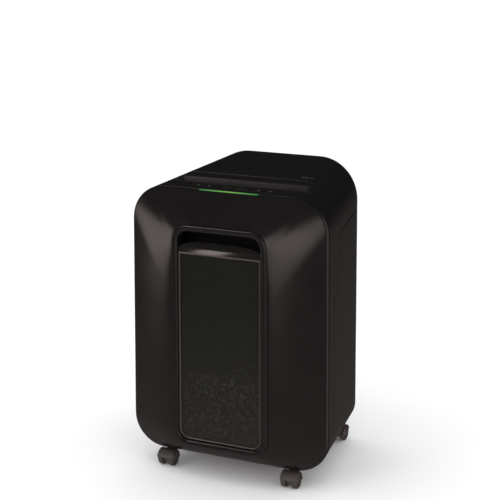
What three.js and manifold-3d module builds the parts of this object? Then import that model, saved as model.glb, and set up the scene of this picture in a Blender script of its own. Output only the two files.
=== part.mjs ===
// Paper shredder: a cutting head on a cabinet with a pull-out bin, standing on four twin-wheel casters.
// Millimetres, +Z up, front towards -Y, origin on the floor under the middle of the bounding box.
import * as THREE from 'three';
import { mergeVertices } from 'three/addons/utils/BufferGeometryUtils.js';
import Module from 'manifold-3d';

const wasm = await Module();
wasm.setup();

// ---------------------------------------------------------------- driving dimensions

// Cabinet envelope: a rounded section that narrows towards the rear and rises towards the rear.
const FRONT_Y = -98; // rear edge of the bin's front cover
const REAR_Y = 140;
const BOTTOM_Z = 30;
const FRONT = { halfWidth: 172.5, top: 479, topRadius: 55, bottomRadius: 55 };
const REAR = { halfWidth: 134.5, top: 504.5, topRadius: 70, bottomRadius: 40 };
const REAR_ROUND = 14; // radius from the sides onto the rear face
const SPREAD = 0.00008; // extra width per millimetre below SPREAD_Z
const SPREAD_Z = 258;
const WALL = 3;
const GAP = 0.35; // between two pieces fixed together
const SEAM = 0.9; // visible joint between two housing pieces

// Housing joints, as seen from the side.
const HOUSING_FRONT_Y = FRONT_Y + 1.5;
const BAND_REAR_Y = -11;
const BAND_SIDE_Z = 366; // the band starts to narrow here
const STRIP_TOP_Z = 307; // and is down to a strip here, which runs on round the bottom
const STRIP_REAR_Y = -62;
const PARTING_FRONT_Z = 412;
const PARTING_REAR_Z = 420.5;
const OUTSIDE = 260; // past every face of the housing

// Front cover of the bin, window frame and window.
const NOSE_Y = -140; // foremost face of the window frame
const COVER_FACE_Y = -136;
const FRAME = { halfWidth: 83.4, bottom: 56.3, top: 429.4, radius: 28.5 };
const FRAME_WIDTH = 10.8;
const FRAME_REAR_Y = -131;
const TRIM_WIDTH = 3.2;
const TRIM_BAR_Z = 384.6; // top of the bright bar over the window
const TRIM_BAR_HEIGHT = 4;
const LIP_HEIGHT = 17; // grip lip over the bar, at its middle
const LIP_FULLNESS = 2.4; // how square the shoulders of its arch are: 2 is an ellipse
const LIP_AXIS = { y: -108, z: 380, radius: 28.5 };
const SCOOP = { rearY: -97, bottom: 366, lipZ: 383, wall: 2.5 };

// Bin tub.
const TUB = { frontY: -97, rearY: 112, bottom: 59, top: 344, frontHalf: 148, rearHalf: 124, wall: 2.5 };
const TUB_NOSE = { halfWidth: 76, frontY: -128.5, windowHalf: 67, windowBottom: 72, windowTop: 336 };

// Paper throat and controls.
const THROAT = { y: -50, halfLength: 124, halfDepth: 17, slotHalfLength: 113, slotHalf: 4 };
const THROAT_NECK_Z = 455;
const THROAT_BOTTOM_Z = 430;
const BUTTON = { x: 13, y: -80, halfWidth: 10.3, halfDepth: 7, top: 482 };
const LED = { halfLength: 50.5, frontY: -101, rearY: -93, bottom: 475.4, top: 479.4 };

// Switch behind the front bezel that the closed bin's front cover presses with a boss.
const BIN_SWITCH = { x: 138, z: 392, plunger: 2, boss: 4 };

// Cutting block inside the head.
const HEAD_TRAY_Z = 350;
const PLATE = { innerX: 122, thickness: 3, frontY: -88, rearY: 60, bottom: 353.4, top: 450 };
const CUTTER = {
  z: 400, spacing: 38, discRadius: 20, coreRadius: 16, pitch: 24, discs: 10, shaftRadius: 6,
};
const CUTTER_FRONT_Y = THROAT.y - CUTTER.spacing / 2;
const CUTTER_REAR_Y = THROAT.y + CUTTER.spacing / 2;
const CUTTER_GEAR = { teeth: 20, module: 1.9, x: -134.5, width: 8 };
const SMALL_GEAR_TEETH = 10;
const WHEEL_GEAR = { teeth: 48, module: 1.25, x: -142, width: 5.5 };
const MOTOR_PINION_TEETH = 12;
const MOTOR = { radius: 27, leftX: -118, rightX: -6, shaftRadius: 3 };
const STEEL_PIN = 4;

// Casters.
const CASTER = { x: 112, frontY: -88, rearY: 104, trail: 15 };
const TYRE = { radius: 13, halfTrack: 14.3, innerX: 5.1, segments: 20 };
const HOOD = { clearance: 13.9, radius: 14.9, collar: 9, top: 28.8 };
const STEM = { radius: 5, top: 52 };
const AXLE_RADIUS = 2.5;

// Rear power switch and cord gland, in a shallow recess of the cabinet's rear wall.
const SERVICE = { x: -62, z: 92, halfWidth: 46, halfHeight: 26, depth: 2 };
const SWITCH = { x: -84, halfWidth: 11, halfHeight: 16, rim: 3 };
const GLAND = { x: -40, radius: 9, bore: 4 };

// ---------------------------------------------------------------- solids from three.js geometry

// A closed three.js geometry becomes a manifold solid with its faces pointing out.
function solid(geometry) {
  const bare = geometry.clone();
  bare.deleteAttribute('normal');
  bare.deleteAttribute('uv');
  const merged = mergeVertices(bare, 1e-4);
  const points = merged.getAttribute('position').array;
  const corners = [];
  let volume = 0;
  for (let i = 0; i < merged.index.count; i += 3) {
    const [a, b, c] = [0, 1, 2].map((k) => merged.index.getX(i + k));
    if (a === b || b === c || c === a) continue;
    corners.push(a, b, c);
    const [p, q, r] = [a, b, c].map((v) => new THREE.Vector3().fromArray(points, 3 * v));
    volume += p.dot(q.cross(r));
  }
  if (volume < 0) corners.reverse();
  return new wasm.Manifold(
    new wasm.Mesh({ numProp: 3, vertProperties: points, triVerts: new Uint32Array(corners) }),
  );
}

function box(x0, x1, y0, y1, z0, z1) {
  const geometry = new THREE.BoxGeometry(x1 - x0, y1 - y0, z1 - z0);
  geometry.translate((x0 + x1) / 2, (y0 + y1) / 2, (z0 + z1) / 2);
  return solid(geometry);
}

function prism(shape, depth, curveSegments = 6) {
  return new THREE.ExtrudeGeometry(shape, { depth, bevelEnabled: false, steps: 1, curveSegments });
}

// A side view drawn in (y, z) and extruded along X.
function prismX(shape, x0, x1, curveSegments) {
  const geometry = prism(shape, x1 - x0, curveSegments);
  geometry.applyMatrix4(new THREE.Matrix4().set(0, 0, 1, x0, 1, 0, 0, 0, 0, 1, 0, 0, 0, 0, 0, 1));
  return solid(geometry);
}

// A front view drawn in (x, z) and extruded along Y.
function prismY(shape, y0, y1, curveSegments) {
  const geometry = prism(shape, y1 - y0, curveSegments);
  geometry.rotateX(Math.PI / 2);
  geometry.translate(0, y1, 0);
  return solid(geometry);
}

// A plan drawn in (x, y) and extruded along Z.
function prismZ(shape, z0, z1, curveSegments) {
  const geometry = prism(shape, z1 - z0, curveSegments);
  geometry.translate(0, 0, z0);
  return solid(geometry);
}

function polygon(points) {
  return new THREE.Shape(points.map(([x, y]) => new THREE.Vector2(x, y)));
}

function circle(x, y, radius) {
  const shape = new THREE.Shape();
  shape.absarc(x, y, radius, 0, 2 * Math.PI);
  return shape;
}

function ellipse(x, y, halfWidth, halfHeight) {
  const shape = new THREE.Shape();
  shape.absellipse(x, y, halfWidth, halfHeight, 0, 2 * Math.PI);
  return shape;
}

// A turned piece on an X axis through (y, z); profile points are (x, radius), on the axis at both ends.
function turned(profile, y, z, segments) {
  const geometry = new THREE.LatheGeometry(profile.map(([x, r]) => new THREE.Vector2(r, x)), segments);
  geometry.rotateY(Math.PI / segments);
  geometry.rotateZ(-Math.PI / 2);
  geometry.translate(0, y, z);
  return solid(geometry);
}

function rod(x0, x1, y, z, radius, segments = 16) {
  return turned([[x0, 0], [x0, radius], [x1, radius], [x1, 0]], y, z, segments);
}

// A post on a Z axis through (x, y).
function post(x, y, z0, z1, radius, segments = 16) {
  const geometry = new THREE.CylinderGeometry(radius, radius, z1 - z0, segments);
  geometry.rotateX(Math.PI / 2);
  geometry.translate(x, y, (z0 + z1) / 2);
  return solid(geometry);
}

// A rounded rectangle in (x, z), upright and centred on x = 0.
function roundedRectangle(halfWidth, bottom, top, bottomRadius, topRadius = bottomRadius) {
  const shape = new THREE.Shape();
  shape.absarc(halfWidth - topRadius, top - topRadius, topRadius, 0, Math.PI / 2);
  shape.absarc(topRadius - halfWidth, top - topRadius, topRadius, Math.PI / 2, Math.PI);
  shape.absarc(bottomRadius - halfWidth, bottom + bottomRadius, bottomRadius, Math.PI, 1.5 * Math.PI);
  shape.absarc(halfWidth - bottomRadius, bottom + bottomRadius, bottomRadius, 1.5 * Math.PI, 2 * Math.PI);
  return shape;
}

// A straight bar with round ends, in plan.
function racetrack(y, halfLength, halfDepth) {
  const shape = new THREE.Shape();
  shape.absarc(halfLength - halfDepth, y, halfDepth, -Math.PI / 2, Math.PI / 2);
  shape.absarc(halfDepth - halfLength, y, halfDepth, Math.PI / 2, 1.5 * Math.PI);
  return shape;
}

// One section of a loft: a rounded rectangle at a depth y, wider towards its bottom.
function ring(y, section) {
  const { halfWidth, bottom, top, bottomRadius, topRadius } = section;
  const points = roundedRectangle(halfWidth, bottom, top, bottomRadius, topRadius).getPoints(3);
  return points.map((p) => new THREE.Vector3(p.x * (1 + SPREAD * (SPREAD_Z - p.y)), y, p.y));
}

// A closed skin over rings with equal numbers of points.
function loft(rings) {
  const count = rings[0].length;
  const index = [];
  for (let level = 0; level + 1 < rings.length; level++) {
    for (let i = 0; i < count; i++) {
      const j = (i + 1) % count;
      const [a, b] = [level * count + i, level * count + j];
      index.push(a, b, b + count, a, b + count, a + count);
    }
  }
  const outline = rings[0].map((p) => new THREE.Vector2(p.x, p.z));
  const last = (rings.length - 1) * count;
  for (const [a, b, c] of THREE.ShapeUtils.triangulateShape(outline, [])) {
    index.push(c, b, a, last + a, last + b, last + c);
  }
  const geometry = new THREE.BufferGeometry().setFromPoints(rings.flat());
  geometry.setIndex(index);
  return solid(geometry);
}

function union(...solids) {
  return solids.reduce((sum, next) => sum.add(next));
}

// ---------------------------------------------------------------- the scene graph

const shredder = new THREE.Group();

const plastic = (color, roughness) => ({ color, roughness, metalness: 0 });
const metal = (color, roughness) => ({ color, roughness, metalness: 1 });
const GLOSS_BLACK = plastic(0x161413, 0.22);
const SATIN_BLACK = plastic(0x1c1a19, 0.38);
const INNER_BLACK = plastic(0x242221, 0.55);
const TRIM_GREY = plastic(0x4b4745, 0.25);
const WINDOW_SMOKE = { color: 0x2b2d2a, roughness: 0.12, metalness: 0, transparent: true, opacity: 0.35 };
const LIGHT_GREEN = { color: 0x2fd03a, roughness: 0.3, metalness: 0, emissive: 0x1fae2a };
const CASTER_GREY = plastic(0x3a3634, 0.5);
const STEEL = metal(0x8d8f91, 0.35);
const GEAR_NYLON = plastic(0xd8d4c8, 0.5);
const BOARD_GREEN = plastic(0x1f4a32, 0.5);

// Adds one named piece to a group.
function piece(name, body, finish, group = shredder) {
  const mesh = body.getMesh();
  const geometry = new THREE.BufferGeometry();
  geometry.setAttribute('position', new THREE.BufferAttribute(mesh.vertProperties, 3));
  geometry.setIndex(new THREE.BufferAttribute(mesh.triVerts, 1));
  const item = new THREE.Mesh(geometry, new THREE.MeshStandardMaterial(finish));
  item.name = name;
  group.add(item);
}

// ---------------------------------------------------------------- housing

const lerp = THREE.MathUtils.lerp;

// The envelope's section at depth y, moved inwards by inset.
function bodySection(y, inset) {
  const t = (y - FRONT_Y) / (REAR_Y - FRONT_Y);
  return {
    halfWidth: lerp(FRONT.halfWidth, REAR.halfWidth, t) - inset,
    bottom: BOTTOM_Z + inset,
    top: lerp(FRONT.top, REAR.top, t) - inset,
    bottomRadius: lerp(FRONT.bottomRadius, REAR.bottomRadius, t) - inset,
    topRadius: lerp(FRONT.topRadius, REAR.topRadius, t) - inset,
  };
}

// The envelope moved inwards by inset, from frontY back to its rounded rear end.
function envelope(frontY, inset) {
  const round = REAR_ROUND - inset;
  const rings = [ring(frontY, bodySection(frontY, inset))];
  for (const turn of [0, Math.PI / 6, Math.PI / 3, Math.PI / 2]) {
    const y = REAR_Y - REAR_ROUND + round * Math.sin(turn);
    rings.push(ring(y, bodySection(y, inset + round * (1 - Math.cos(turn)))));
  }
  return loft(rings);
}

const outerSkin = envelope(HOUSING_FRONT_Y, 0);
const innerSkin = envelope(HOUSING_FRONT_Y - 40, WALL);
const interior = envelope(HOUSING_FRONT_Y, WALL + GAP); // what fits inside the shells
const shell = outerSkin.subtract(innerSkin);

function sideRegion(points) {
  return prismX(polygon(points), -OUTSIDE, OUTSIDE);
}

function throatCut(grow) {
  return prismZ(racetrack(THROAT.y, THROAT.halfLength + grow, THROAT.halfDepth + grow), 400, 520, 10);
}

function makeHousing() {
  const bandRegion = sideRegion([
    [HOUSING_FRONT_Y, 0], [STRIP_REAR_Y, 0], [STRIP_REAR_Y, STRIP_TOP_Z],
    [BAND_REAR_Y, BAND_SIDE_Z], [BAND_REAR_Y, OUTSIDE * 2], [HOUSING_FRONT_Y, OUTSIDE * 2],
  ]);
  const facePlate = outerSkin.intersect(
    box(-OUTSIDE, OUTSIDE, HOUSING_FRONT_Y, HOUSING_FRONT_Y + WALL, HEAD_TRAY_Z, OUTSIDE * 2),
  );
  let bezel = union(shell.intersect(bandRegion), facePlate).subtract(throatCut(GAP));
  bezel = bezel.subtract(box(-LED.halfLength - GAP, LED.halfLength + GAP,
    -120, LED.rearY + GAP, LED.bottom - GAP, 500));
  for (const side of [-1, 1]) {
    const hole = ellipse(side * BUTTON.x, BUTTON.y, BUTTON.halfWidth + GAP, BUTTON.halfDepth + GAP);
    bezel = bezel.subtract(prismZ(hole, 470, 490));
  }
  const plungerHole = circle(BIN_SWITCH.x, BIN_SWITCH.z, BIN_SWITCH.plunger + GAP);
  bezel = bezel.subtract(prismY(plungerHole, HOUSING_FRONT_Y - 2, HOUSING_FRONT_Y + WALL + 2, 4));
  piece('front_bezel', bezel.subtract(stemHoles()), GLOSS_BLACK);

  const coverFrontY = BAND_REAR_Y + SEAM;
  const headRegion = sideRegion([
    [coverFrontY, PARTING_FRONT_Z], [REAR_Y + 10, PARTING_REAR_Z],
    [REAR_Y + 10, OUTSIDE * 2], [coverFrontY, OUTSIDE * 2],
  ]);
  let headCover = shell.intersect(headRegion);
  const ventCount = 9;
  for (let i = 0; i < ventCount; i++) {
    const x = (i - (ventCount - 1) / 2) * 9;
    headCover = headCover.subtract(box(x - 1.8, x + 1.8, REAR_Y - 8, REAR_Y + 5, 432, 462));
  }
  piece('head_cover', headCover, GLOSS_BLACK);

  const stripRearY = STRIP_REAR_Y + SEAM;
  const baseRegion = sideRegion([
    [stripRearY, 0], [REAR_Y + 10, 0], [REAR_Y + 10, PARTING_REAR_Z - SEAM],
    [coverFrontY, PARTING_FRONT_Z - SEAM], [coverFrontY, BAND_SIDE_Z], [stripRearY, STRIP_TOP_Z],
  ]);
  const { x, z, halfWidth, halfHeight, depth } = SERVICE;
  const backing = box(x - halfWidth - WALL, x + halfWidth + WALL, REAR_Y - WALL - depth - 1, REAR_Y - 1,
    z - halfHeight - WALL, z + halfHeight + WALL);
  const recess = box(x - halfWidth, x + halfWidth, REAR_Y - depth, REAR_Y + 5,
    z - halfHeight, z + halfHeight);
  let cabinet = union(shell.intersect(baseRegion), backing).subtract(recess);
  cabinet = cabinet.subtract(stemHoles());
  const switchHole = box(SWITCH.x - SWITCH.halfWidth - GAP, SWITCH.x + SWITCH.halfWidth + GAP, 120, 150,
    z - SWITCH.halfHeight - GAP, z + SWITCH.halfHeight + GAP);
  const glandHole = prismY(circle(GLAND.x, z, GLAND.radius + GAP), 120, 150);
  piece('cabinet_shell', cabinet.subtract(switchHole).subtract(glandHole), GLOSS_BLACK);
}

function casterPlaces() {
  const places = [];
  for (const y of [CASTER.frontY, CASTER.rearY]) {
    for (const side of [-1, 1]) places.push([side * CASTER.x, y]);
  }
  return places;
}

// Clearance for the caster stems through the skin.
function stemHoles() {
  return union(...casterPlaces().map(([x, y]) => post(x, y, 20, 60, STEM.radius + 2)));
}

// Floor plate over the casters, with a socket for each stem, and the two rails that the bin runs on.
function makeBase() {
  const top = BOTTOM_Z + WALL + 5;
  let floor = box(-OUTSIDE, OUTSIDE, HOUSING_FRONT_Y + 1, REAR_Y - 8, BOTTOM_Z, top);
  for (const [x, y] of casterPlaces()) floor = floor.add(post(x, y, BOTTOM_Z, STEM.top + 3, 9, 20));
  floor = floor.intersect(interior);
  for (const [x, y] of casterPlaces()) {
    floor = floor.subtract(post(x, y, 20, STEM.top + GAP, STEM.radius + GAP));
  }
  piece('base_floor', floor, INNER_BLACK);
  for (const [name, side] of [['left_bin_rail', -1], ['right_bin_rail', 1]]) {
    const height = TUB.bottom - top - 2 * GAP;
    const rail = polygon([[-7, 0], [7, 0], [5, height], [-5, height]]);
    const bar = prismY(rail, -88, 104).translate([side * 70, 0, top + GAP]);
    piece(name, bar, GEAR_NYLON);
  }
}

// ---------------------------------------------------------------- head

function makeThroat() {
  const { y, halfLength, halfDepth, slotHalfLength, slotHalf } = THROAT;
  const upper = prismZ(racetrack(y, halfLength, halfDepth), THROAT_NECK_Z, 520, 10).intersect(outerSkin);
  const neck = prismZ(racetrack(y, slotHalfLength + 3, slotHalf + 3), THROAT_BOTTOM_Z, THROAT_NECK_Z + 2, 6);
  const mouthWide = racetrack(y, halfLength - 3, halfDepth - 3).getPoints(5);
  const mouthNarrow = racetrack(y, slotHalfLength, slotHalf).getPoints(5);
  const level = (outline, z) => outline.map((p) => new THREE.Vector3(p.x, p.y, z));
  const funnel = loftZ([level(mouthNarrow, THROAT_NECK_Z + 3), level(mouthWide, FRONT.top - 3),
    level(mouthWide, FRONT.top + 20)]);
  const slot = prismZ(racetrack(y, slotHalfLength, slotHalf), THROAT_BOTTOM_Z - 5, THROAT_NECK_Z + 6, 5);
  piece('throat_insert', union(upper, neck).subtract(funnel).subtract(slot), SATIN_BLACK);
}

// The same skin as loft(), over level rings that are stacked along Z.
function loftZ(rings) {
  const laid = rings.map((points) => points.map((p) => new THREE.Vector3(p.x, -p.z, p.y)));
  return loft(laid).rotate([-90, 0, 0]);
}

function makeControls() {
  for (const [name, side] of [['reverse_button', -1], ['power_button', 1]]) {
    const x = side * BUTTON.x;
    const key = prismZ(ellipse(x, BUTTON.y, BUTTON.halfWidth, BUTTON.halfDepth), 474, BUTTON.top);
    const flangeOutline = ellipse(x, BUTTON.y, BUTTON.halfWidth + 1.6, BUTTON.halfDepth + 1.4);
    const flange = prismZ(flangeOutline, 472.5, 475.2);
    piece(name, union(key, flange), SATIN_BLACK);
  }
  const { halfLength, frontY, rearY, bottom, top } = LED;
  const radius = 2.5;
  const bar = new THREE.Shape();
  bar.moveTo(rearY, bottom);
  bar.lineTo(rearY, top);
  bar.lineTo(frontY + radius, top);
  bar.absarc(frontY + radius, top - radius, radius, Math.PI / 2, Math.PI);
  bar.lineTo(frontY, bottom);
  piece('status_light_bar', prismX(bar, -halfLength, halfLength, 4), LIGHT_GREEN);
}

// Head floor with the opening that shreds fall through, side plates, tie rods and strippers.
function makeCuttingFrame() {
  const opening = box(-PLATE.innerX + 3, PLATE.innerX - 3, CUTTER_FRONT_Y - 14, CUTTER_REAR_Y + 14,
    300, 400);
  const tray = interior.intersect(
    box(-OUTSIDE, OUTSIDE, HOUSING_FRONT_Y + WALL + GAP, REAR_Y - 16, HEAD_TRAY_Z, HEAD_TRAY_Z + 3),
  );
  piece('head_floor', tray.subtract(opening), INNER_BLACK);

  for (const [name, side] of [['left_side_plate', -1], ['right_side_plate', 1]]) {
    const near = Math.min(side * PLATE.innerX, side * (PLATE.innerX + PLATE.thickness));
    const far = near + PLATE.thickness;
    let plate = box(near, far, PLATE.frontY, PLATE.rearY, PLATE.bottom, PLATE.top);
    for (const y of [CUTTER_FRONT_Y, CUTTER_REAR_Y]) {
      plate = plate.subtract(rod(near - 1, far + 1, y, CUTTER.z, CUTTER.shaftRadius + GAP));
    }
    if (side < 0) {
      plate = plate.subtract(rod(near - 1, far + 1, gearAxis.y, gearAxis.z, STEEL_PIN + GAP));
      plate = plate.subtract(rod(near - 1, far + 1, motorAxis.y, motorAxis.z, MOTOR.shaftRadius + GAP));
    }
    piece(name, plate, STEEL);
  }

  const span = PLATE.innerX - GAP;
  piece('front_tie_rod', rod(-span, span, -81, 440, STEEL_PIN, 10), STEEL);
  piece('rear_tie_rod', rod(-span, span, -14, 440, STEEL_PIN, 10), STEEL);

  // Each comb's fingers stand in the gaps between its own shaft's discs.
  const combs = [['front_stripper', -1, CUTTER_FRONT_Y], ['rear_stripper', 1, CUTTER_REAR_Y]];
  for (const [name, side, axisY] of combs) {
    const outerY = axisY + side * 20;
    const innerY = axisY + side * 17;
    const fingerY = axisY + side * 7;
    let comb = box(-span, span, Math.min(outerY, innerY), Math.max(outerY, innerY), 358, 383);
    for (let i = 0; i + 1 < CUTTER.discs; i++) {
      const x = discX(i, side) + CUTTER.pitch / 2;
      comb = comb.add(box(x - 5, x + 5, Math.min(innerY - 1, fingerY), Math.max(innerY + 1, fingerY),
        372, 381));
    }
    piece(name, comb, SATIN_BLACK);
  }
}

// ---------------------------------------------------------------- cutters, gears and motor

// The front shaft's discs stand half a pitch to the left of the rear shaft's.
function discX(i, side) {
  return (i - (CUTTER.discs - 1) / 2) * CUTTER.pitch + side * CUTTER.pitch / 4;
}

function makeCutter(name, y, side) {
  const { z, discRadius, coreRadius, pitch, discs, shaftRadius } = CUTTER;
  const halfDisc = pitch / 4 - 0.35;
  const coreEnd = PLATE.innerX - 2;
  const left = CUTTER_GEAR.x - 2;
  const profile = [[left, 0], [left, shaftRadius], [-coreEnd, shaftRadius], [-coreEnd, coreRadius]];
  for (let i = 0; i < discs; i++) {
    const x = discX(i, side);
    profile.push([x - halfDisc, coreRadius], [x - halfDisc, discRadius]);
    profile.push([x + halfDisc, discRadius], [x + halfDisc, coreRadius]);
  }
  const right = PLATE.innerX + PLATE.thickness + 6;
  profile.push([coreEnd, coreRadius], [coreEnd, shaftRadius], [right, shaftRadius], [right, 0]);
  piece(name, turned(profile, y, z, 12), STEEL);
}

// A spur gear's outline in (y, z): straight-sided teeth with room to spare, one of them at angle phase.
function gearOutline(teeth, module, phase, y, z) {
  const root = (teeth * module) / 2 - 1.25 * module;
  const tip = (teeth * module) / 2 + 0.85 * module;
  const step = (2 * Math.PI) / teeth;
  const points = [];
  for (let i = 0; i < teeth; i++) {
    for (const [part, radius] of [[-0.25, root], [-0.11, tip], [0.11, tip], [0.25, root]]) {
      const angle = phase + (i + part) * step;
      points.push([y + radius * Math.cos(angle), z + radius * Math.sin(angle)]);
    }
  }
  return polygon(points);
}

function pitchRadius(teeth, module) {
  return (teeth * module) / 2;
}

// The phase that puts a gear's gap on its neighbour's tooth; angle points from the neighbour to it.
function meshPhase(angle, neighbourPhase, neighbourRadius, radius, teeth) {
  return angle + Math.PI - ((neighbourPhase - angle) * neighbourRadius) / radius + Math.PI / teeth;
}

const gearAngle = THREE.MathUtils.degToRad(20);
const motorAngle = THREE.MathUtils.degToRad(-20);
const cutterGearRadius = pitchRadius(CUTTER_GEAR.teeth, CUTTER_GEAR.module);
const smallGearRadius = pitchRadius(SMALL_GEAR_TEETH, CUTTER_GEAR.module);
const wheelGearRadius = pitchRadius(WHEEL_GEAR.teeth, WHEEL_GEAR.module);
const pinionRadius = pitchRadius(MOTOR_PINION_TEETH, WHEEL_GEAR.module);

function axisFrom(start, angle, distance) {
  return { y: start.y + distance * Math.cos(angle), z: start.z + distance * Math.sin(angle) };
}

const rearAxis = { y: CUTTER_REAR_Y, z: CUTTER.z };
const gearAxis = axisFrom(rearAxis, gearAngle, cutterGearRadius + smallGearRadius + GAP);
const motorAxis = axisFrom(gearAxis, motorAngle, wheelGearRadius + pinionRadius + GAP);

function makeDrive() {
  makeCutter('front_cutter', CUTTER_FRONT_Y, -1);
  makeCutter('rear_cutter', CUTTER_REAR_Y, 1);

  // The two cutter gears mesh on the line from the rear axis to the front one.
  const { teeth, module, x, width } = CUTTER_GEAR;
  const rearPhase = Math.PI;
  const frontPhase = meshPhase(Math.PI, rearPhase, cutterGearRadius, cutterGearRadius, teeth);
  for (const [name, y, phase] of [['front_cutter_gear', CUTTER_FRONT_Y, frontPhase],
    ['rear_cutter_gear', CUTTER_REAR_Y, rearPhase]]) {
    const gear = prismX(gearOutline(teeth, module, phase, y, CUTTER.z), x, x + width);
    piece(name, gear.subtract(rod(x - 1, x + width + 1, y, CUTTER.z, CUTTER.shaftRadius + GAP)), STEEL);
  }

  // A wheel and a small gear in one moulding, turning on a pin in the left side plate.
  const smallPhase = meshPhase(gearAngle, rearPhase, cutterGearRadius, smallGearRadius, SMALL_GEAR_TEETH);
  const wheel = WHEEL_GEAR;
  const wheelPhase = motorAngle;
  const pair = union(
    prismX(gearOutline(wheel.teeth, wheel.module, wheelPhase, gearAxis.y, gearAxis.z),
      wheel.x, wheel.x + wheel.width),
    prismX(gearOutline(SMALL_GEAR_TEETH, module, smallPhase, gearAxis.y, gearAxis.z),
      wheel.x + wheel.width - 1, x + width),
  );
  const bore = rod(wheel.x - 1, x + width + 1, gearAxis.y, gearAxis.z, STEEL_PIN + GAP);
  piece('intermediate_gear', pair.subtract(bore), GEAR_NYLON);
  const pin = rod(wheel.x - 2, -PLATE.innerX + 3, gearAxis.y, gearAxis.z, STEEL_PIN, 12);
  piece('intermediate_gear_pin', pin, STEEL);

  const pinionPhase = meshPhase(motorAngle, wheelPhase, wheelGearRadius, pinionRadius, MOTOR_PINION_TEETH);
  const teethOutline = gearOutline(MOTOR_PINION_TEETH, wheel.module, pinionPhase,
    motorAxis.y, motorAxis.z);
  const pinion = union(
    prismX(teethOutline, wheel.x, wheel.x + wheel.width),
    rod(wheel.x + 1, MOTOR.leftX - GAP, motorAxis.y, motorAxis.z, MOTOR.shaftRadius, 12),
  );
  piece('motor_pinion', pinion, STEEL);

  const { radius, leftX, rightX } = MOTOR;
  const can = [[leftX, 0], [leftX, radius - 6], [leftX + 6, radius], [rightX - 6, radius],
    [rightX, radius - 6], [rightX + 5, 8], [rightX + 5, 0]];
  piece('motor', turned(can, motorAxis.y, motorAxis.z, 24), STEEL);
}

function makeElectrics() {
  const board = union(
    box(-62, 62, 84, 85.6, 356, 436), box(-50, -12, 68, 84.5, 366, 398), box(8, 26, 72, 84.5, 362, 384),
    box(36, 52, 74, 84.5, 388, 412),
  );
  piece('control_board', board, BOARD_GREEN);
  const inside = HOUSING_FRONT_Y + WALL + GAP;
  const switchBody = box(BIN_SWITCH.x - 6, BIN_SWITCH.x + 6, inside, inside + 9,
    BIN_SWITCH.z - 9, BIN_SWITCH.z + 9);
  const plungerOutline = circle(BIN_SWITCH.x, BIN_SWITCH.z, BIN_SWITCH.plunger);
  const plunger = prismY(plungerOutline, FRONT_Y + 0.6, inside + 1, 4);
  piece('bin_switch', union(switchBody, plunger), SATIN_BLACK);

  const { z, depth } = SERVICE;
  const face = REAR_Y - depth;
  const { x, halfWidth, halfHeight, rim } = SWITCH;
  const body = box(x - halfWidth, x + halfWidth, REAR_Y - 16, face + 1.5, z - halfHeight, z + halfHeight);
  const well = box(x - halfWidth + rim, x + halfWidth - rim, REAR_Y - 14, REAR_Y + 5,
    z - halfHeight + rim, z + halfHeight - rim);
  piece('power_switch_body', body.subtract(well), SATIN_BLACK);

  // The rocker is a shallow V that rests with its upper half pressed in.
  const reach = halfHeight - rim - 1;
  const rocker = polygon([[-4, -3], [-4, 3], [2, reach], [4.2, reach], [2.2, 0], [4.2, -reach], [2, -reach]]);
  const axisY = REAR_Y - 7;
  const tilt = prismX(rocker, x - halfWidth + rim + 0.6, x + halfWidth - rim - 0.6).rotate([8, 0, 0]);
  piece('power_switch_rocker', tilt.translate([0, axisY, z]), GLOSS_BLACK);

  const gland = prismY(circle(GLAND.x, z, GLAND.radius), REAR_Y - 12, REAR_Y - 0.6, 10);
  const hole = prismY(circle(GLAND.x, z, GLAND.bore), REAR_Y - 20, REAR_Y + 5, 7);
  piece('cord_gland', gland.subtract(hole), INNER_BLACK);
}

// ---------------------------------------------------------------- bin

// A section of the front cover: 0 is its outer edge, 1 the window frame's outline.
function coverSection(part, inset) {
  return {
    halfWidth: lerp(FRONT.halfWidth, FRAME.halfWidth, part) - inset,
    bottom: lerp(BOTTOM_Z, FRAME.bottom, part) + inset,
    top: lerp(FRONT.top, FRAME.top, part) - inset,
    bottomRadius: lerp(FRONT.bottomRadius, FRAME.radius, part) - inset,
    topRadius: lerp(FRONT.topRadius, FRAME.radius, part) - inset,
  };
}

// How far the cover's face stands forward, from its edge to the window frame.
function coverDepthY(part) {
  const rimDepth = 4.5;
  const crown = 1 - (1 - part) ** 1.35;
  return part === 0 ? FRONT_Y : FRONT_Y - rimDepth - (FRONT_Y - rimDepth - COVER_FACE_Y) * crown;
}

function coverSkin(inset, backY) {
  const rings = [ring(backY, coverSection(0, inset))];
  for (const part of [0, 0.02, 0.15, 0.4, 0.7, 1]) {
    if (inset === 0 && part === 0) continue;
    rings.push(ring(coverDepthY(part) + inset, coverSection(part, inset)));
  }
  return loft(rings);
}

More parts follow.
